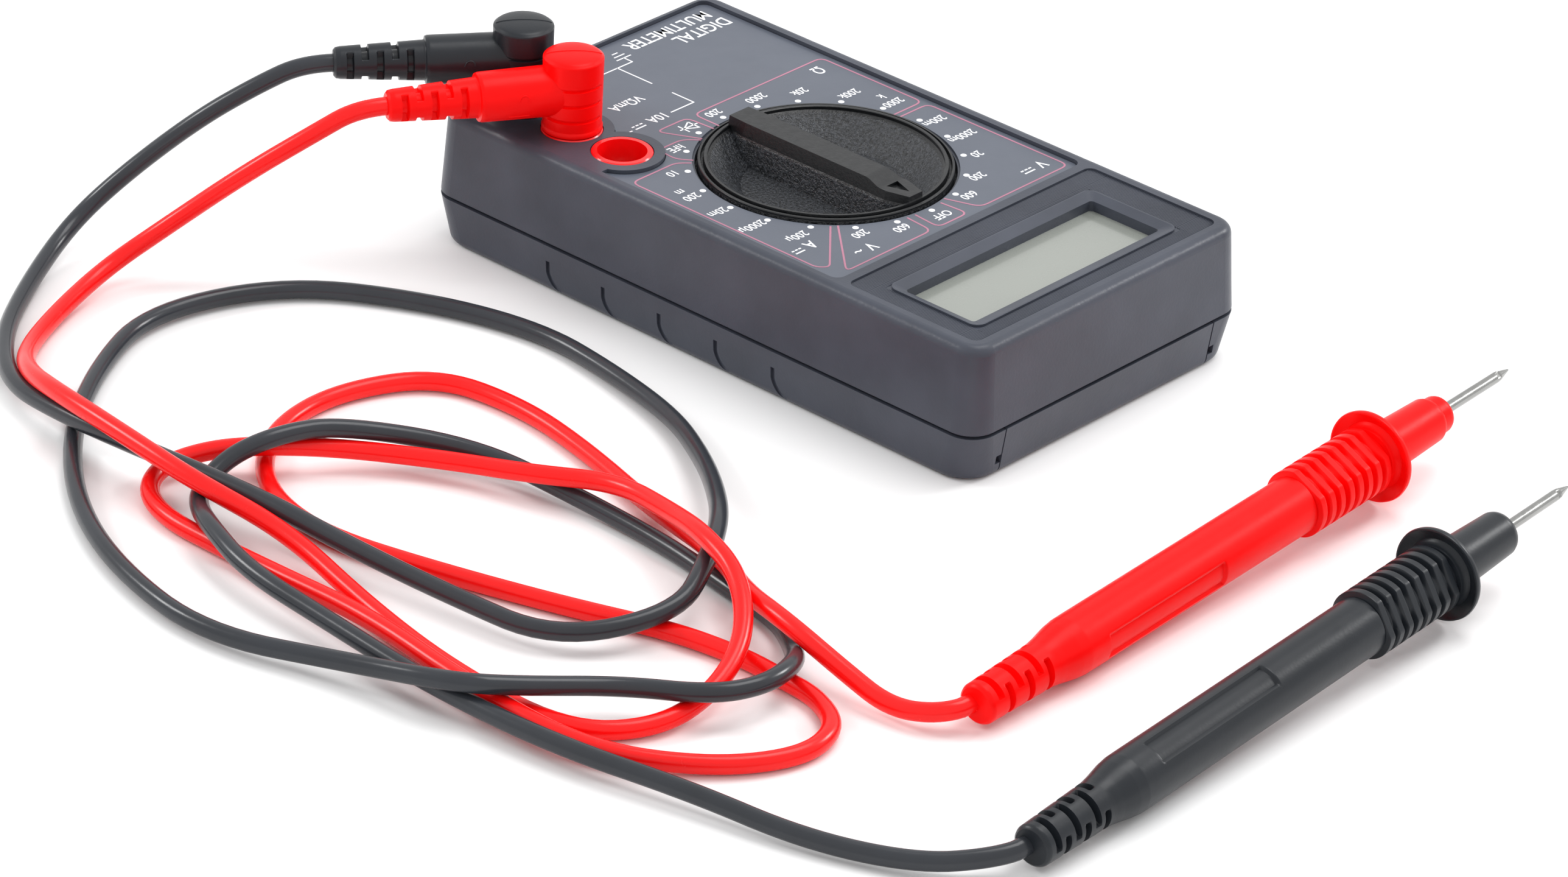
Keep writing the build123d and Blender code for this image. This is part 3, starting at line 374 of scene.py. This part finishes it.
OTHER_LABELS = [
    # text, middle of its line, capital height
    ("k", (-26.1, -12.7), DIAL_LETTERS), ("m", (26.1, -11.7), DIAL_LETTERS),
    ("V", (-26.7, 23.6), 2.6), ("V", (17.4, 23.9), 2.6), ("~", (20.3, 23.9), 2.6), ("A", (24.3, 16.5), 2.6),
    ("\u03a9", (-25.8, -27.4), 2.6), ("DIGITAL", (-22.5, -52.3), 3.1), ("MULTIMETER", (-18.0, -56.5), 3.1),
    ("10A", (8.6, -33.8), 2.3), ("V\u03a9mA", (8.4, -41.3), 2.3), ("COM", (9.6, -52.6), 2.3),
]
DC_MARKS = [(-23.2, 23.6, 2.6), (27.5, 16.6, 2.2), (13.2, -33.8, 2.6)]
THIN_LINES = [
    [(-0.6, -39.0), (-0.6, -33.8), (5.2, -33.8)], [(17.0, -33.4), (15.3, -33.4)],
    [(-0.6, -43.8), (-0.6, -52.2), (-4.4, -52.2), (-4.4, -54.3)], [(-0.6, -52.2), (6.4, -52.2)],
    [(-6.2, -54.3), (-2.6, -54.3)], [(-5.7, -55.4), (-3.1, -55.4)], [(-5.1, -56.5), (-3.7, -56.5)],
    [(5.8, -29.2), (5.8, -26.4), (8.2, -27.8), (5.8, -29.2)], [(8.3, -29.2), (8.3, -26.4)],
    [(4.9, -27.8), (9.2, -27.8)],
]
FRAME_LINE = 0.34
FRAME_CORNER = 1.6
THIN_LINE = 0.28
MARK_LINE = 0.32
FRAMES = [
    [(-4.8, 20.6), (-7.1, 26.9), (-29.9, 26.9), (-29.9, -5.3), (-22.6, -5.3)],
    [(-22.5, -6.6), (-29.9, -6.6), (-29.9, -30.5), (2.9, -30.5), (2.9, -24.4)],
    [(-3.2, 21.2), (-3.7, 26.9), (3.8, 26.9), (3.3, 21.2)],
    [(5.1, 21.0), (5.6, 26.9), (27.0, 26.9), (15.8, 14.9)],
    [(16.9, 14.2), (27.9, 24.0), (29.6, 22.5), (29.6, -19.9), (18.8, -19.9), (16.8, -18.0)],
    [(15.8, -18.5), (17.7, -21.0), (17.3, -25.3), (11.5, -25.3), (9.2, -22.9)],
    [(4.4, -24.4), (4.8, -30.4), (12.5, -30.4), (8.7, -23.1)],
]


def rounded(points, radius):
    """The line through some points with its corners rounded by short curves."""
    result = [points[0]]
    for before, here, after in zip(points, points[1:], points[2:]):
        reach = min(radius, (here - before).length * 0.45, (after - here).length * 0.45)
        enter = here + (before - here).normalized() * reach
        leave = here + (after - here).normalized() * reach
        for share in (0, 0.25, 0.5, 0.75, 1):
            result.append(enter.lerp(here, share).lerp(here.lerp(leave, share), share))
    return result + [points[-1]]


def stroke(points, width):
    """Vertices and faces of a flat line of ink."""
    verts = []
    faces = []
    for number, point in enumerate(points):
        ahead = points[min(number + 1, len(points) - 1)]
        behind = points[max(number - 1, 0)]
        heading = (ahead - behind).normalized()
        if 0 < number < len(points) - 1:
            bend = (ahead - point).angle(point - behind)
        else:
            bend = 0
        across = Vector((-heading.y, heading.x, 0)) * (width / 2 / cos(bend / 2))
        verts += [(point + across) * MM, (point - across) * MM]
    count = len(verts)
    verts += [vert - UP * 2 * INK * MM for vert in verts]
    for number in range(len(points) - 1):
        a = number * 2
        faces += [(a, a + 1, a + 3, a + 2), (a + count, a + 2 + count, a + 3 + count, a + 1 + count),
                  (a, a + 2, a + 2 + count, a + count), (a + 1, a + 1 + count, a + 3 + count, a + 3)]
    faces += [(0, count, count + 1, 1), (count - 2, count - 1, 2 * count - 1, 2 * count - 2)]
    return verts, faces


def flat(points):
    """Points of the sheet's printed surface."""
    return [Vector((x, y, SHEET_TOP + INK)) for x, y in points]


def letters(text, middle, capital):
    """Vertices and faces of a word of ink, centred on a point."""
    curve = bpy.data.curves.new("word", "FONT")
    curve.body = text
    curve.size = 1
    curve.offset = 0.008
    curve.extrude = 0.02
    curve.resolution_u = 3
    holder = bpy.data.objects.new("word", curve)
    bpy.context.scene.collection.objects.link(holder)
    bpy.context.view_layer.update()
    mesh = bpy.data.meshes.new_from_object(holder)
    places = [vertex.co.copy() for vertex in mesh.vertices]
    faces = [tuple(polygon.vertices) for polygon in mesh.polygons]
    bpy.data.objects.remove(holder)
    bpy.data.curves.remove(curve)
    bpy.data.meshes.remove(mesh)
    size = capital / CAPITAL_SHARE
    left = min(place.x for place in places)
    wide = max(place.x for place in places) - left
    verts = []
    for place in places:
        verts.append(Vector((middle[0] + (place.x - left - wide / 2) * size * LETTER_WIDTH,
                             middle[1] + (place.y - CAPITAL_SHARE / 2) * size,
                             SHEET_TOP + (INK if place.z > 0 else -INK))) * MM)
    return verts, faces


def disc(middle, radius, sides=28):
    """Vertices and faces of a round spot of ink."""
    verts = []
    for z in (SHEET_TOP + INK, SHEET_TOP - INK):
        for step in range(sides):
            turn = 2 * pi * step / sides
            verts.append(Vector((middle[0] + radius * cos(turn), middle[1] + radius * sin(turn), z)) * MM)
    faces = [tuple(range(sides)), tuple(reversed(range(sides, 2 * sides)))]
    for step in range(sides):
        following = (step + 1) % sides
        faces.append((step, step + sides, following + sides, following))
    return verts, faces


def join(shapes):
    """One set of vertices and faces from several."""
    verts = []
    faces = []
    for more_verts, more_faces in shapes:
        faces += [tuple(index + len(verts) for index in face) for face in more_faces]
        verts += more_verts
    return verts, faces


def make_print():
    """White dots, lettering and marks, and the pink frames round the groups of ranges."""
    white = []
    for number in range(DOT_COUNT):
        turn = 2 * pi * number / DOT_COUNT
        white.append(disc((DOT_RING * cos(turn), KNOB_CENTRE.y + DOT_RING * sin(turn)), DOT_RADIUS))
    for text, distance, direction in DIAL_LABELS:
        turn = radians(direction)
        middle = (distance * cos(turn), KNOB_CENTRE.y + distance * sin(turn))
        white.append(letters(text, middle, DIAL_LETTERS))
    for text, middle, capital in OTHER_LABELS:
        white.append(letters(text, middle, capital))
    for x, y, wide in DC_MARKS:
        white.append(stroke(flat([(x - wide / 2, y + 0.45), (x + wide / 2, y + 0.45)]), MARK_LINE))
        for number in range(3):
            begin = x - wide / 2 + wide * 0.37 * number
            white.append(stroke(flat([(begin, y - 0.5), (begin + wide * 0.26, y - 0.5)]), MARK_LINE))
    for points in THIN_LINES:
        white.append(stroke(rounded(flat(points), 0.05), THIN_LINE))
    add_piece("panel_lettering", *join(white), ink_white, "panel_print")
    pink = [stroke(rounded(flat(points), FRAME_CORNER), FRAME_LINE) for points in FRAMES]
    add_piece("panel_frames", *join(pink), ink_pink, "panel_print")


make_print()


# ------------------------------------------------------------------ ribbed strips round the display
RIB_PITCH = 0.34
RIB_FOOT = 24.70
RIB_TOP = 24.90
STRIPS = [
    # left, right, near and far edge
    (-31.0, 31.0, 30.85, 34.6), (-31.0, -24.95, 34.75, 55.1), (27.15, 31.0, 34.75, 55.1),
    (-31.0, -24.95, 55.25, 59.0), (27.15, 31.0, 55.25, 59.0), (-24.95, 27.15, 56.05, 59.0),
    (-24.95, 27.15, 34.75, 35.75),
]


def make_strips():
    """Fine ribs that run across the meter beside its window."""
    shapes = []
    for left, right, near, far in STRIPS:
        count = round((far - near) / RIB_PITCH)
        pitch = (far - near) / count
        outline = [(near, RIB_FOOT - 0.05)]
        for number in range(count):
            foot = near + pitch * number
            outline += [(foot, RIB_FOOT), (foot + 0.3 * pitch, RIB_TOP), (foot + 0.6 * pitch, RIB_TOP)]
        outline += [(far, RIB_FOOT), (far, RIB_FOOT - 0.05)]
        size = len(outline)
        verts = [Vector((x, y, z)) * MM for x in (left, right) for y, z in outline]
        faces = [(i, i + size, i + 1 + size, i + 1) for i in range(size - 1)]
        faces += [(size - 1, 2 * size - 1, size, 0), tuple(range(size)), tuple(reversed(range(size, 2 * size)))]
        shapes.append((verts, faces))
    add_piece("display_ribs", *join(shapes), case_plastic, "case_plastic", sharp=20)


make_strips()


# ------------------------------------------------------------------ cords
CORD_DIAMETER = 3.2
ROUTES = {
    "red": [
        (50.96, -57.14, 32.85), (55.67, -59.97, 32.85), (61.7, -63.6, 29.2), (70.5, -72, 21.2),
        (77.8, -83, 10), (88, -88, 3.4), (103, -84, 1.7), (116.5, -77, 2.1), (125.3, -66.8, 5.6),
        (130.6, -53, 8.9), (132.5, -35, 9), (133.5, -18, 8), (129.7, 0.2, 4.4), (134, 22.5, 2),
        (138, 45.5, 1.65), (138.4, 70.6, 1.65), (127, 80, 1.65), (113.5, 79.5, 3), (102.5, 75, 6),
        (94, 65.5, 9.5), (90.5, 54.5, 11), (86, 43.5, 8.5), (82.5, 28.5, 6.5), (89, 14.5, 5),
        (93.5, 0.5, 3.5), (103.5, -15, 3.5), (115.5, -22.5, 5.5), (120.5, -29, 3.8), (127.5, -31.8, 2.6),
        (134, -28.5, 1.8), (137.5, -20, 1.65), (137.5, -7.5, 1.65), (138, 6.5, 2.5), (138, 28, 3.5),
        (141.5, 52.5, 3.5), (141, 77.5, 2.5), (130, 93, 1.65), (117.5, 101, 1.65), (107.5, 99, 1.65),
        (103, 91, 1.65), (102.6, 83, 1.65), (102.3, 74, 1.65), (104.5, 61, 1.65), (111, 44.5, 1.65),
        (118, 22.5, 1.65), (123, 2.5, 1.65), (121, -12, 1.65), (113.5, -23, 1.65), (102, -30, 1.65),
        (87.5, -31, 1.65), (72, -23.5, 1.65), (69.5, -6, 1.65), (72.5, 11.5, 1.65), (79, 33, 2),
        (85.5, 54.5, 4.5), (92.5, 65, 6), (96.5, 78, 7.3), (97, 91, 4), (97.6, 101, 2.1),
        (95.2, 109, 3.4), (88.9, 111.97, 4.25), (12.18, 110.31, 7.41),
    ],
    "black": [
        (48.36, -72.85, 34.55), (52.63, -76.31, 34.55), (58.5, -81, 31), (66, -88.3, 24.3),
        (73.5, -98.7, 12.6), (82.5, -103, 4.4), (99, -95.5, 1.7), (115.5, -84, 1.8), (127, -69.5, 3),
        (130, -54, 4.8), (130.5, -34.5, 6.3), (127.8, -8, 6.5), (126, 11.5, 4.5), (124, 31, 3.5),
        (121.5, 52, 3), (104, 62, 5), (91.5, 56.5, 7.5), (80.5, 49, 7.5), (71, 39, 5.5), (62.5, 28, 3.5),
        (55, 15, 2.5), (50.5, -3, 2), (48, -22.5, 1.65), (54.5, -44, 1.65), (68, -65, 1.65),
        (92.5, -73, 2), (112, -64.5, 1.65), (130, -51, 1.65), (145, -33, 1.65), (154.5, -12.5, 2),
        (158.5, 11.5, 2), (150, 35, 3.5), (147, 55.5, 7.5), (138, 62, 6), (125.5, 70.5, 4.5),
        (119.5, 83.5, 6), (111.5, 87.5, 6.2), (102.5, 85.5, 5.4), (95.5, 79, 2.2), (90, 70.5, 1.65),
        (88.5, 59, 1.65), (85.5, 43, 1.65), (85, 22, 2), (87, 0.5, 3.5), (102.5, -16, 7),
        (113.5, -19, 8.2), (121.5, -22.5, 5.6), (128.5, -21.5, 2.8), (134.5, -15.5, 4.3), (139, -8, 5.8),
        (143.5, 5.5, 5), (144, 24.5, 4), (145.5, 47.5, 3.5), (144.4, 73.7, 3.5), (138.5, 97, 3),
        (135, 117, 2), (128, 133.5, 2.1), (120.2, 141.8, 3.4), (113.7, 144.46, 4.25), (37.01, 142.03, 7.41),
    ],
}
STILL_HEIGHT = 13          # height of a point straight below the cord's exit


def spline_points(points):
    """Points read from the smooth spline that has the route's points as its control points."""
    curve = bpy.data.curves.new("route", "CURVE")
    curve.dimensions = "3D"
    spline = curve.splines.new("NURBS")
    spline.points.add(len(points) - 1)
    for point, place in zip(spline.points, points):
        point.co = (*(Vector(place) * MM), 1)
    spline.order_u = 3
    spline.use_endpoint_u = True
    spline.resolution_u = 8
    holder = bpy.data.objects.new("route", curve)
    bpy.context.scene.collection.objects.link(holder)
    bpy.context.view_layer.update()
    line = bpy.data.meshes.new_from_object(holder)
    places = [vertex.co.copy() for vertex in line.vertices]
    bpy.data.objects.remove(holder)
    bpy.data.curves.remove(curve)
    bpy.data.meshes.remove(line)
    if (places[0] - Vector(points[0]) * MM).length > (places[-1] - Vector(points[0]) * MM).length:
        places.reverse()
    return places


def tube(path, radius, sides=24):
    """Vertices and faces of a round tube along a path, with the least twist and flat ends."""
    verts = []
    side = None
    tangents = []
    for number in range(len(path)):
        ahead = path[min(number + 1, len(path) - 1)]
        behind = path[max(number - 1, 0)]
        tangents.append((ahead - behind).normalized())
    for place, tangent in zip(path, tangents):
        if side is None:
            side = tangent.orthogonal().normalized()
        side = (side - tangent * side.dot(tangent)).normalized()
        across = tangent.cross(side)
        for step in range(sides):
            angle = 2 * pi * step / sides
            verts.append(place + (side * cos(angle) + across * sin(angle)) * radius)
    return verts, ring_faces(len(path), sides)


def make_cord(colour):
    """The cord between plug and probe."""
    path = spline_points(ROUTES[colour])
    verts, faces = tube(path, CORD_DIAMETER / 2 * MM)
    piece = add_piece(f"{colour}_lead_cord", verts, faces, jacket[colour], f"cord_{colour}", body=None)
    exit_place = Vector(ROUTES[colour][0]) * MM
    low = exit_place.copy()
    low.z = STILL_HEIGHT * MM
    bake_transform(piece)
    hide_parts(f"{colour}_cord")
    return piece, path, exit_place


# ------------------------------------------------------------------ plugs
PLUG_HEADINGS = {"red": radians(-31.0), "black": radians(-39.0)}
PLUG_JACKS = {"red": "volt_ohm", "black": "common"}
SHROUD_LENGTH = 15.0
PIN_SHORTER = 0.5          # the pin ends this much above the shroud's mouth
PLUG_ARM_HEIGHT = 7.4
PLUG_REACH = 32.9
HEAD_RADIUS = 5.3
HEAD_HEIGHT = 13.7          # up to where the dome begins
DOME_RISE = 0.85
RIDGE_HEIGHTS = (2.9, 5.9, 8.9)
RIDGE_LENGTH = 0.55
RIDGE_DEPTH = 0.34
RIDGE_FACING = radians(48)      # which way the ridges face, and the seam across the dome lies square to it
ARCH_PLACE = 9.6                # along the arm, as is the bar's beginning
BAR_PLACE = 8.6

# slots of the strain reliefs of plugs and probes
SLOT_DEPTH = 1.3
SLOT_WALL = (0.48, 0.62)        # along the relief, distance from the slot's middle at which its wall rises
SLOT_REACH = 0.72               # no slot is felt further than this from its middle
BRIDGE_SIDE = (0.54, 0.64)      # radians from the bridge's middle at which its flank falls


def relief_slots(station, angle, radius, begin, pitch, count, bridge):
    """Radius of a strain relief cut by slots that leave two bridges, a quarter turn on in every other slot."""
    for number in range(count):
        middle = begin + pitch * number
        across_slot = abs(station - middle)
        if across_slot < SLOT_REACH:
            turn = bridge + (pi / 2 if number % 2 else 0)
            nearest = min(angle_between(angle, turn), angle_between(angle, turn + pi))
            open_share = smooth_step(nearest, *BRIDGE_SIDE)
            return radius - SLOT_DEPTH * open_share * (1 - smooth_step(across_slot, *SLOT_WALL))
    return radius


def make_plug(colour):
    """Ringed head with domed, scored top and side arm with a slotted relief."""
    jack_low, jack_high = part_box(f"jack_sleeve_{PLUG_JACKS[colour]}")
    pin_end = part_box(f"{colour}_plug_pin")[0][2] / MM
    shoulder = pin_end + SHROUD_LENGTH - PIN_SHORTER
    origin = Vector(((jack_low[0] + jack_high[0]) / 2 / MM, (jack_low[1] + jack_high[1]) / 2 / MM, shoulder))
    heading = PLUG_HEADINGS[colour]
    along = Vector((cos(heading), sin(heading), 0))

    def head_shape(station, angle, radius):
        facing = angle_between(angle, RIDGE_FACING)
        sector = 1 - smooth_step(facing, 0.95, 1.15)
        for ridge in RIDGE_HEIGHTS:
            if ridge <= station < ridge + RIDGE_LENGTH and radius > 3:
                return radius - RIDGE_DEPTH * sector * (1 - (station - ridge) / RIDGE_LENGTH)
        return radius

    outline = [(0, 3.0), (-SHROUD_LENGTH, 3.0), (-SHROUD_LENGTH, 4.0), (0.15 - SHROUD_LENGTH, 4.15), (-0.02, 4.15),
               (0, 5.1), (0.15, HEAD_RADIUS), (0.7, HEAD_RADIUS + 0.02), (0.95, HEAD_RADIUS - 0.12)]
    outline = [outline[0]] + resample(outline[1:], 0.4)
    outline += resample([(1.1, HEAD_RADIUS - 0.15), (HEAD_HEIGHT - 0.35, HEAD_RADIUS)], 0.1)
    rim = HEAD_RADIUS - 0.35
    outline += [(HEAD_HEIGHT - 0.15, HEAD_RADIUS - 0.06), (HEAD_HEIGHT, rim + 0.1)]
    outline += [(HEAD_HEIGHT + DOME_RISE * sin(turn), rim * cos(turn))
                for turn in (pi / 24 * step for step in range(1, 12))]
    outline.append((HEAD_HEIGHT + DOME_RISE, 0.05))
    head = lathe(outline, origin, UP, Vector((1, 0, 0)), head_shape, 128)

    def arm_shape(station, angle, radius):
        return relief_slots(station, angle, radius, 19.7, 2.6, 5, 0)

    barrel, relief, end = 4.5, 3.55, 2.85
    arm_outline = [(0, barrel), (4, barrel), (16.5, barrel - 0.15), (17.0, barrel - 0.3), (17.15, relief + 0.1),
                   (17.3, relief), (PLUG_REACH - 1.2, end), (PLUG_REACH - 0.4, end - 0.15),
                   (PLUG_REACH, end - 0.6), (PLUG_REACH, 1.2)]
    arm_origin = origin + UP * PLUG_ARM_HEIGHT
    arm = lathe(resample(arm_outline, 0.16), arm_origin, along, UP, arm_shape, 112)
    pieces = []
    for part_name, (verts, faces) in (("head", head), ("arm", arm)):
        pieces.append(add_piece(f"{colour}_plug_{part_name}", verts, faces, lead_plastic[colour],
                                f"lead_{colour}", f"{colour}_plug"))
    # parting seam across the dome, and a raised arch with a bar below it on the arm's side
    seam = []
    across = Vector((cos(RIDGE_FACING + pi / 2), sin(RIDGE_FACING + pi / 2), 0))
    for step in range(-20, 21):
        share = step / 20.5
        rise = DOME_RISE * (1 - share * share) ** 0.5
        seam.append((origin + across * (share * rim) + UP * (HEAD_HEIGHT + rise - 0.02)) * MM)
    out = UP.cross(along)
    if out.dot(Vector((sin(AZIMUTH), -cos(AZIMUTH), 0))) < 0:
        out = -out

    def on_barrel(station, turn):
        reach = barrel - 0.05 - 0.012 * station / 2
        return (arm_origin + along * station + (out * cos(turn) + UP * sin(turn)) * reach) * MM

    half_turn = [pi * step / 12 for step in range(13)]
    arch = [on_barrel(ARCH_PLACE + 0.9 * cos(turn), 0.12 + 0.22 * sin(turn)) for turn in half_turn]
    bar = [on_barrel(BAR_PLACE + 0.25 * step, -0.62) for step in range(15)]
    for mark_name, path, radius in (("seam", seam, 0.13), ("arch", arch, 0.17), ("bar", bar, 0.16)):
        pieces.append(add_piece(f"{colour}_plug_{mark_name}", *tube(path, radius * MM, 10), lead_plastic[colour],
                                f"lead_{colour}", f"{colour}_plug", sharp=60))
    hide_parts(f"{colour}_plug")
    return pieces


# ------------------------------------------------------------------ probes
PROBES = {
    "red": (Vector((90.1, 112.0, 4.2)), Vector((-48.4, 109.0, 9.9)), radians(-62)),
    "black": (Vector((114.9, 144.5, 4.2)), Vector((-23.6, 140.1, 9.9)), radians(-30)),
}
PROBE_LENGTH = 139.0
GRIP_BEGINS = {"red": 80.0, "black": 82.2}
GRIP_LENGTH = 19.6
RIB_COUNT = 8
RIB_FLAT = 5.0             # distance of the ribs' flat sides from the axis
GROOVE_RADIUS = 4.5        # of the grooves between them
STRIP_TURNS = {"red": radians(-2), "black": radians(68)}     # which way the sunk strip faces, from +Y to +Z
STRIP_SPAN = (27, 56)
STRIP_DEPTH = 0.5
STRIP_SIDE = (0.41, 0.46)  # radians from the strip's middle at which its side rises
NOTCH_SPAN = (134.9, 135.9)
NOTCH_FLAT = 0.62          # distance of the needle's two flats from its axis


def make_probe(colour):
    """Handle with slotted relief, grip with flattened ribs, dished guard, nose and needle."""
    tail, tip, roll = PROBES[colour]
    along = (tip - tail).normalized()
    level = UP.cross(along).normalized()
    side = level * cos(roll) + along.cross(level) * sin(roll)
    finish = lead_plastic[colour]
    slot = f"lead_{colour}"
    begin = GRIP_BEGINS[colour]
    end = begin + GRIP_LENGTH
    strip_turn = STRIP_TURNS[colour]
    strip_way = Vector((0, cos(strip_turn), sin(strip_turn)))
    strip = atan2(strip_way.dot(along.cross(side)), strip_way.dot(side))

    def handle_shape(station, angle, radius):
        if station < 16:
            return relief_slots(station, angle, radius, 2.4, 2.3, 6, radians(70))
        # sunk strip along the barrel, left plain
        first, last = STRIP_SPAN
        inside = smooth_step(station, first, first + 0.5) * (1 - smooth_step(station, last, last + 0.5))
        inside *= 1 - smooth_step(angle_between(angle, strip), *STRIP_SIDE)
        return radius - STRIP_DEPTH * inside

    outline = [(0, 1.3), (0, 3.0), (0.25, 3.35), (0.7, 3.55), (15.2, 3.9), (15.8, 3.95), (17.5, 4.2), (20.5, 4.8),
               (22.5, 5.03), (25, 5.05), (begin - 0.1, 5.0), (begin + 0.1, 4.7)]
    handle = add_piece(f"{colour}_handle", *lathe(resample(outline, 0.17), tail, along, side, handle_shape, 112),
                       finish, slot)
    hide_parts(f"{colour}_probe_handle")

    pitch = GRIP_LENGTH / RIB_COUNT

    def grip_shape(station, angle, radius):
        if station > end:
            return radius
        # ribs with two flat sides, parted by narrow grooves
        high = min(radius, RIB_FLAT / max(0.2, abs(cos(angle))))
        share = ((station - begin) % pitch) / pitch
        crest = smooth_step(share, 0.0, 0.16) * (1 - smooth_step(share, 0.62, 0.80))
        return GROOVE_RADIUS + (high - GROOVE_RADIUS) * crest

    grip_outline = [(begin - 0.3, 4.4), (begin, 5.85), (end, 5.85)]
    guard = [(0.2, 5.2), (0.9, 5.4), (1.6, 6.0), (1.3, 6.9), (0.7, 7.75), (0.75, 8.0), (1.1, 8.1), (1.7, 7.95),
             (2.5, 6.8), (3.1, 5.6), (3.6, 4.6), (3.7, 3.0)]
    guard = [(end + station, radius) for station, radius in guard]
    rings = resample(grip_outline, 0.12) + resample(guard, 0.3)
    grip = add_piece(f"{colour}_grip", *lathe(rings, tail, along, side, grip_shape, 112), finish, slot)
    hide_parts(f"{colour}_probe_grip")

    if colour == "red":
        nose_outline = [(end + 3, 4.35), (116.2, 3.95), (116.6, 3.8), (116.8, 3.35), (119.0, 3.3), (119.5, 3.1),
                        (119.8, 2.6), (119.8, 1.0)]
    else:
        nose_outline = [(end + 3, 4.4), (119.1, 3.9), (119.8, 3.65), (120.2, 3.1), (120.3, 2.6), (120.3, 1.0)]
    nose = add_piece(f"{colour}_nose", *lathe(resample(nose_outline, 0.4), tail, along, side, None, 96), finish, slot)
    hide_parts(f"{colour}_probe_nose")

    def needle_shape(station, angle, radius):
        if NOTCH_SPAN[0] < station < NOTCH_SPAN[1]:
            return min(radius, NOTCH_FLAT / max(0.3, abs(cos(angle))))
        return radius

    needle_outline = [(118, 0.98), (134.6, 0.96), (134.9, 0.96), (135.0, 0.96), (135.8, 0.9), (136.0, 0.88),
                      (138.7, 0.2), (PROBE_LENGTH, 0.03)]
    shaft = lathe(resample(needle_outline, 0.25), tail, along, side, needle_shape, 48)
    needle = add_piece(f"{colour}_needle", *shaft, bright_steel, "plated_metal")
    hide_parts(f"{colour}_probe_needle")
    return [handle, grip, nose, needle]


for colour in ("red", "black"):
    cord, cord_path, cord_exit = make_cord(colour)
    ends = make_plug(colour) + make_probe(colour) + [nodes[f"{colour}_plug_pin"]]
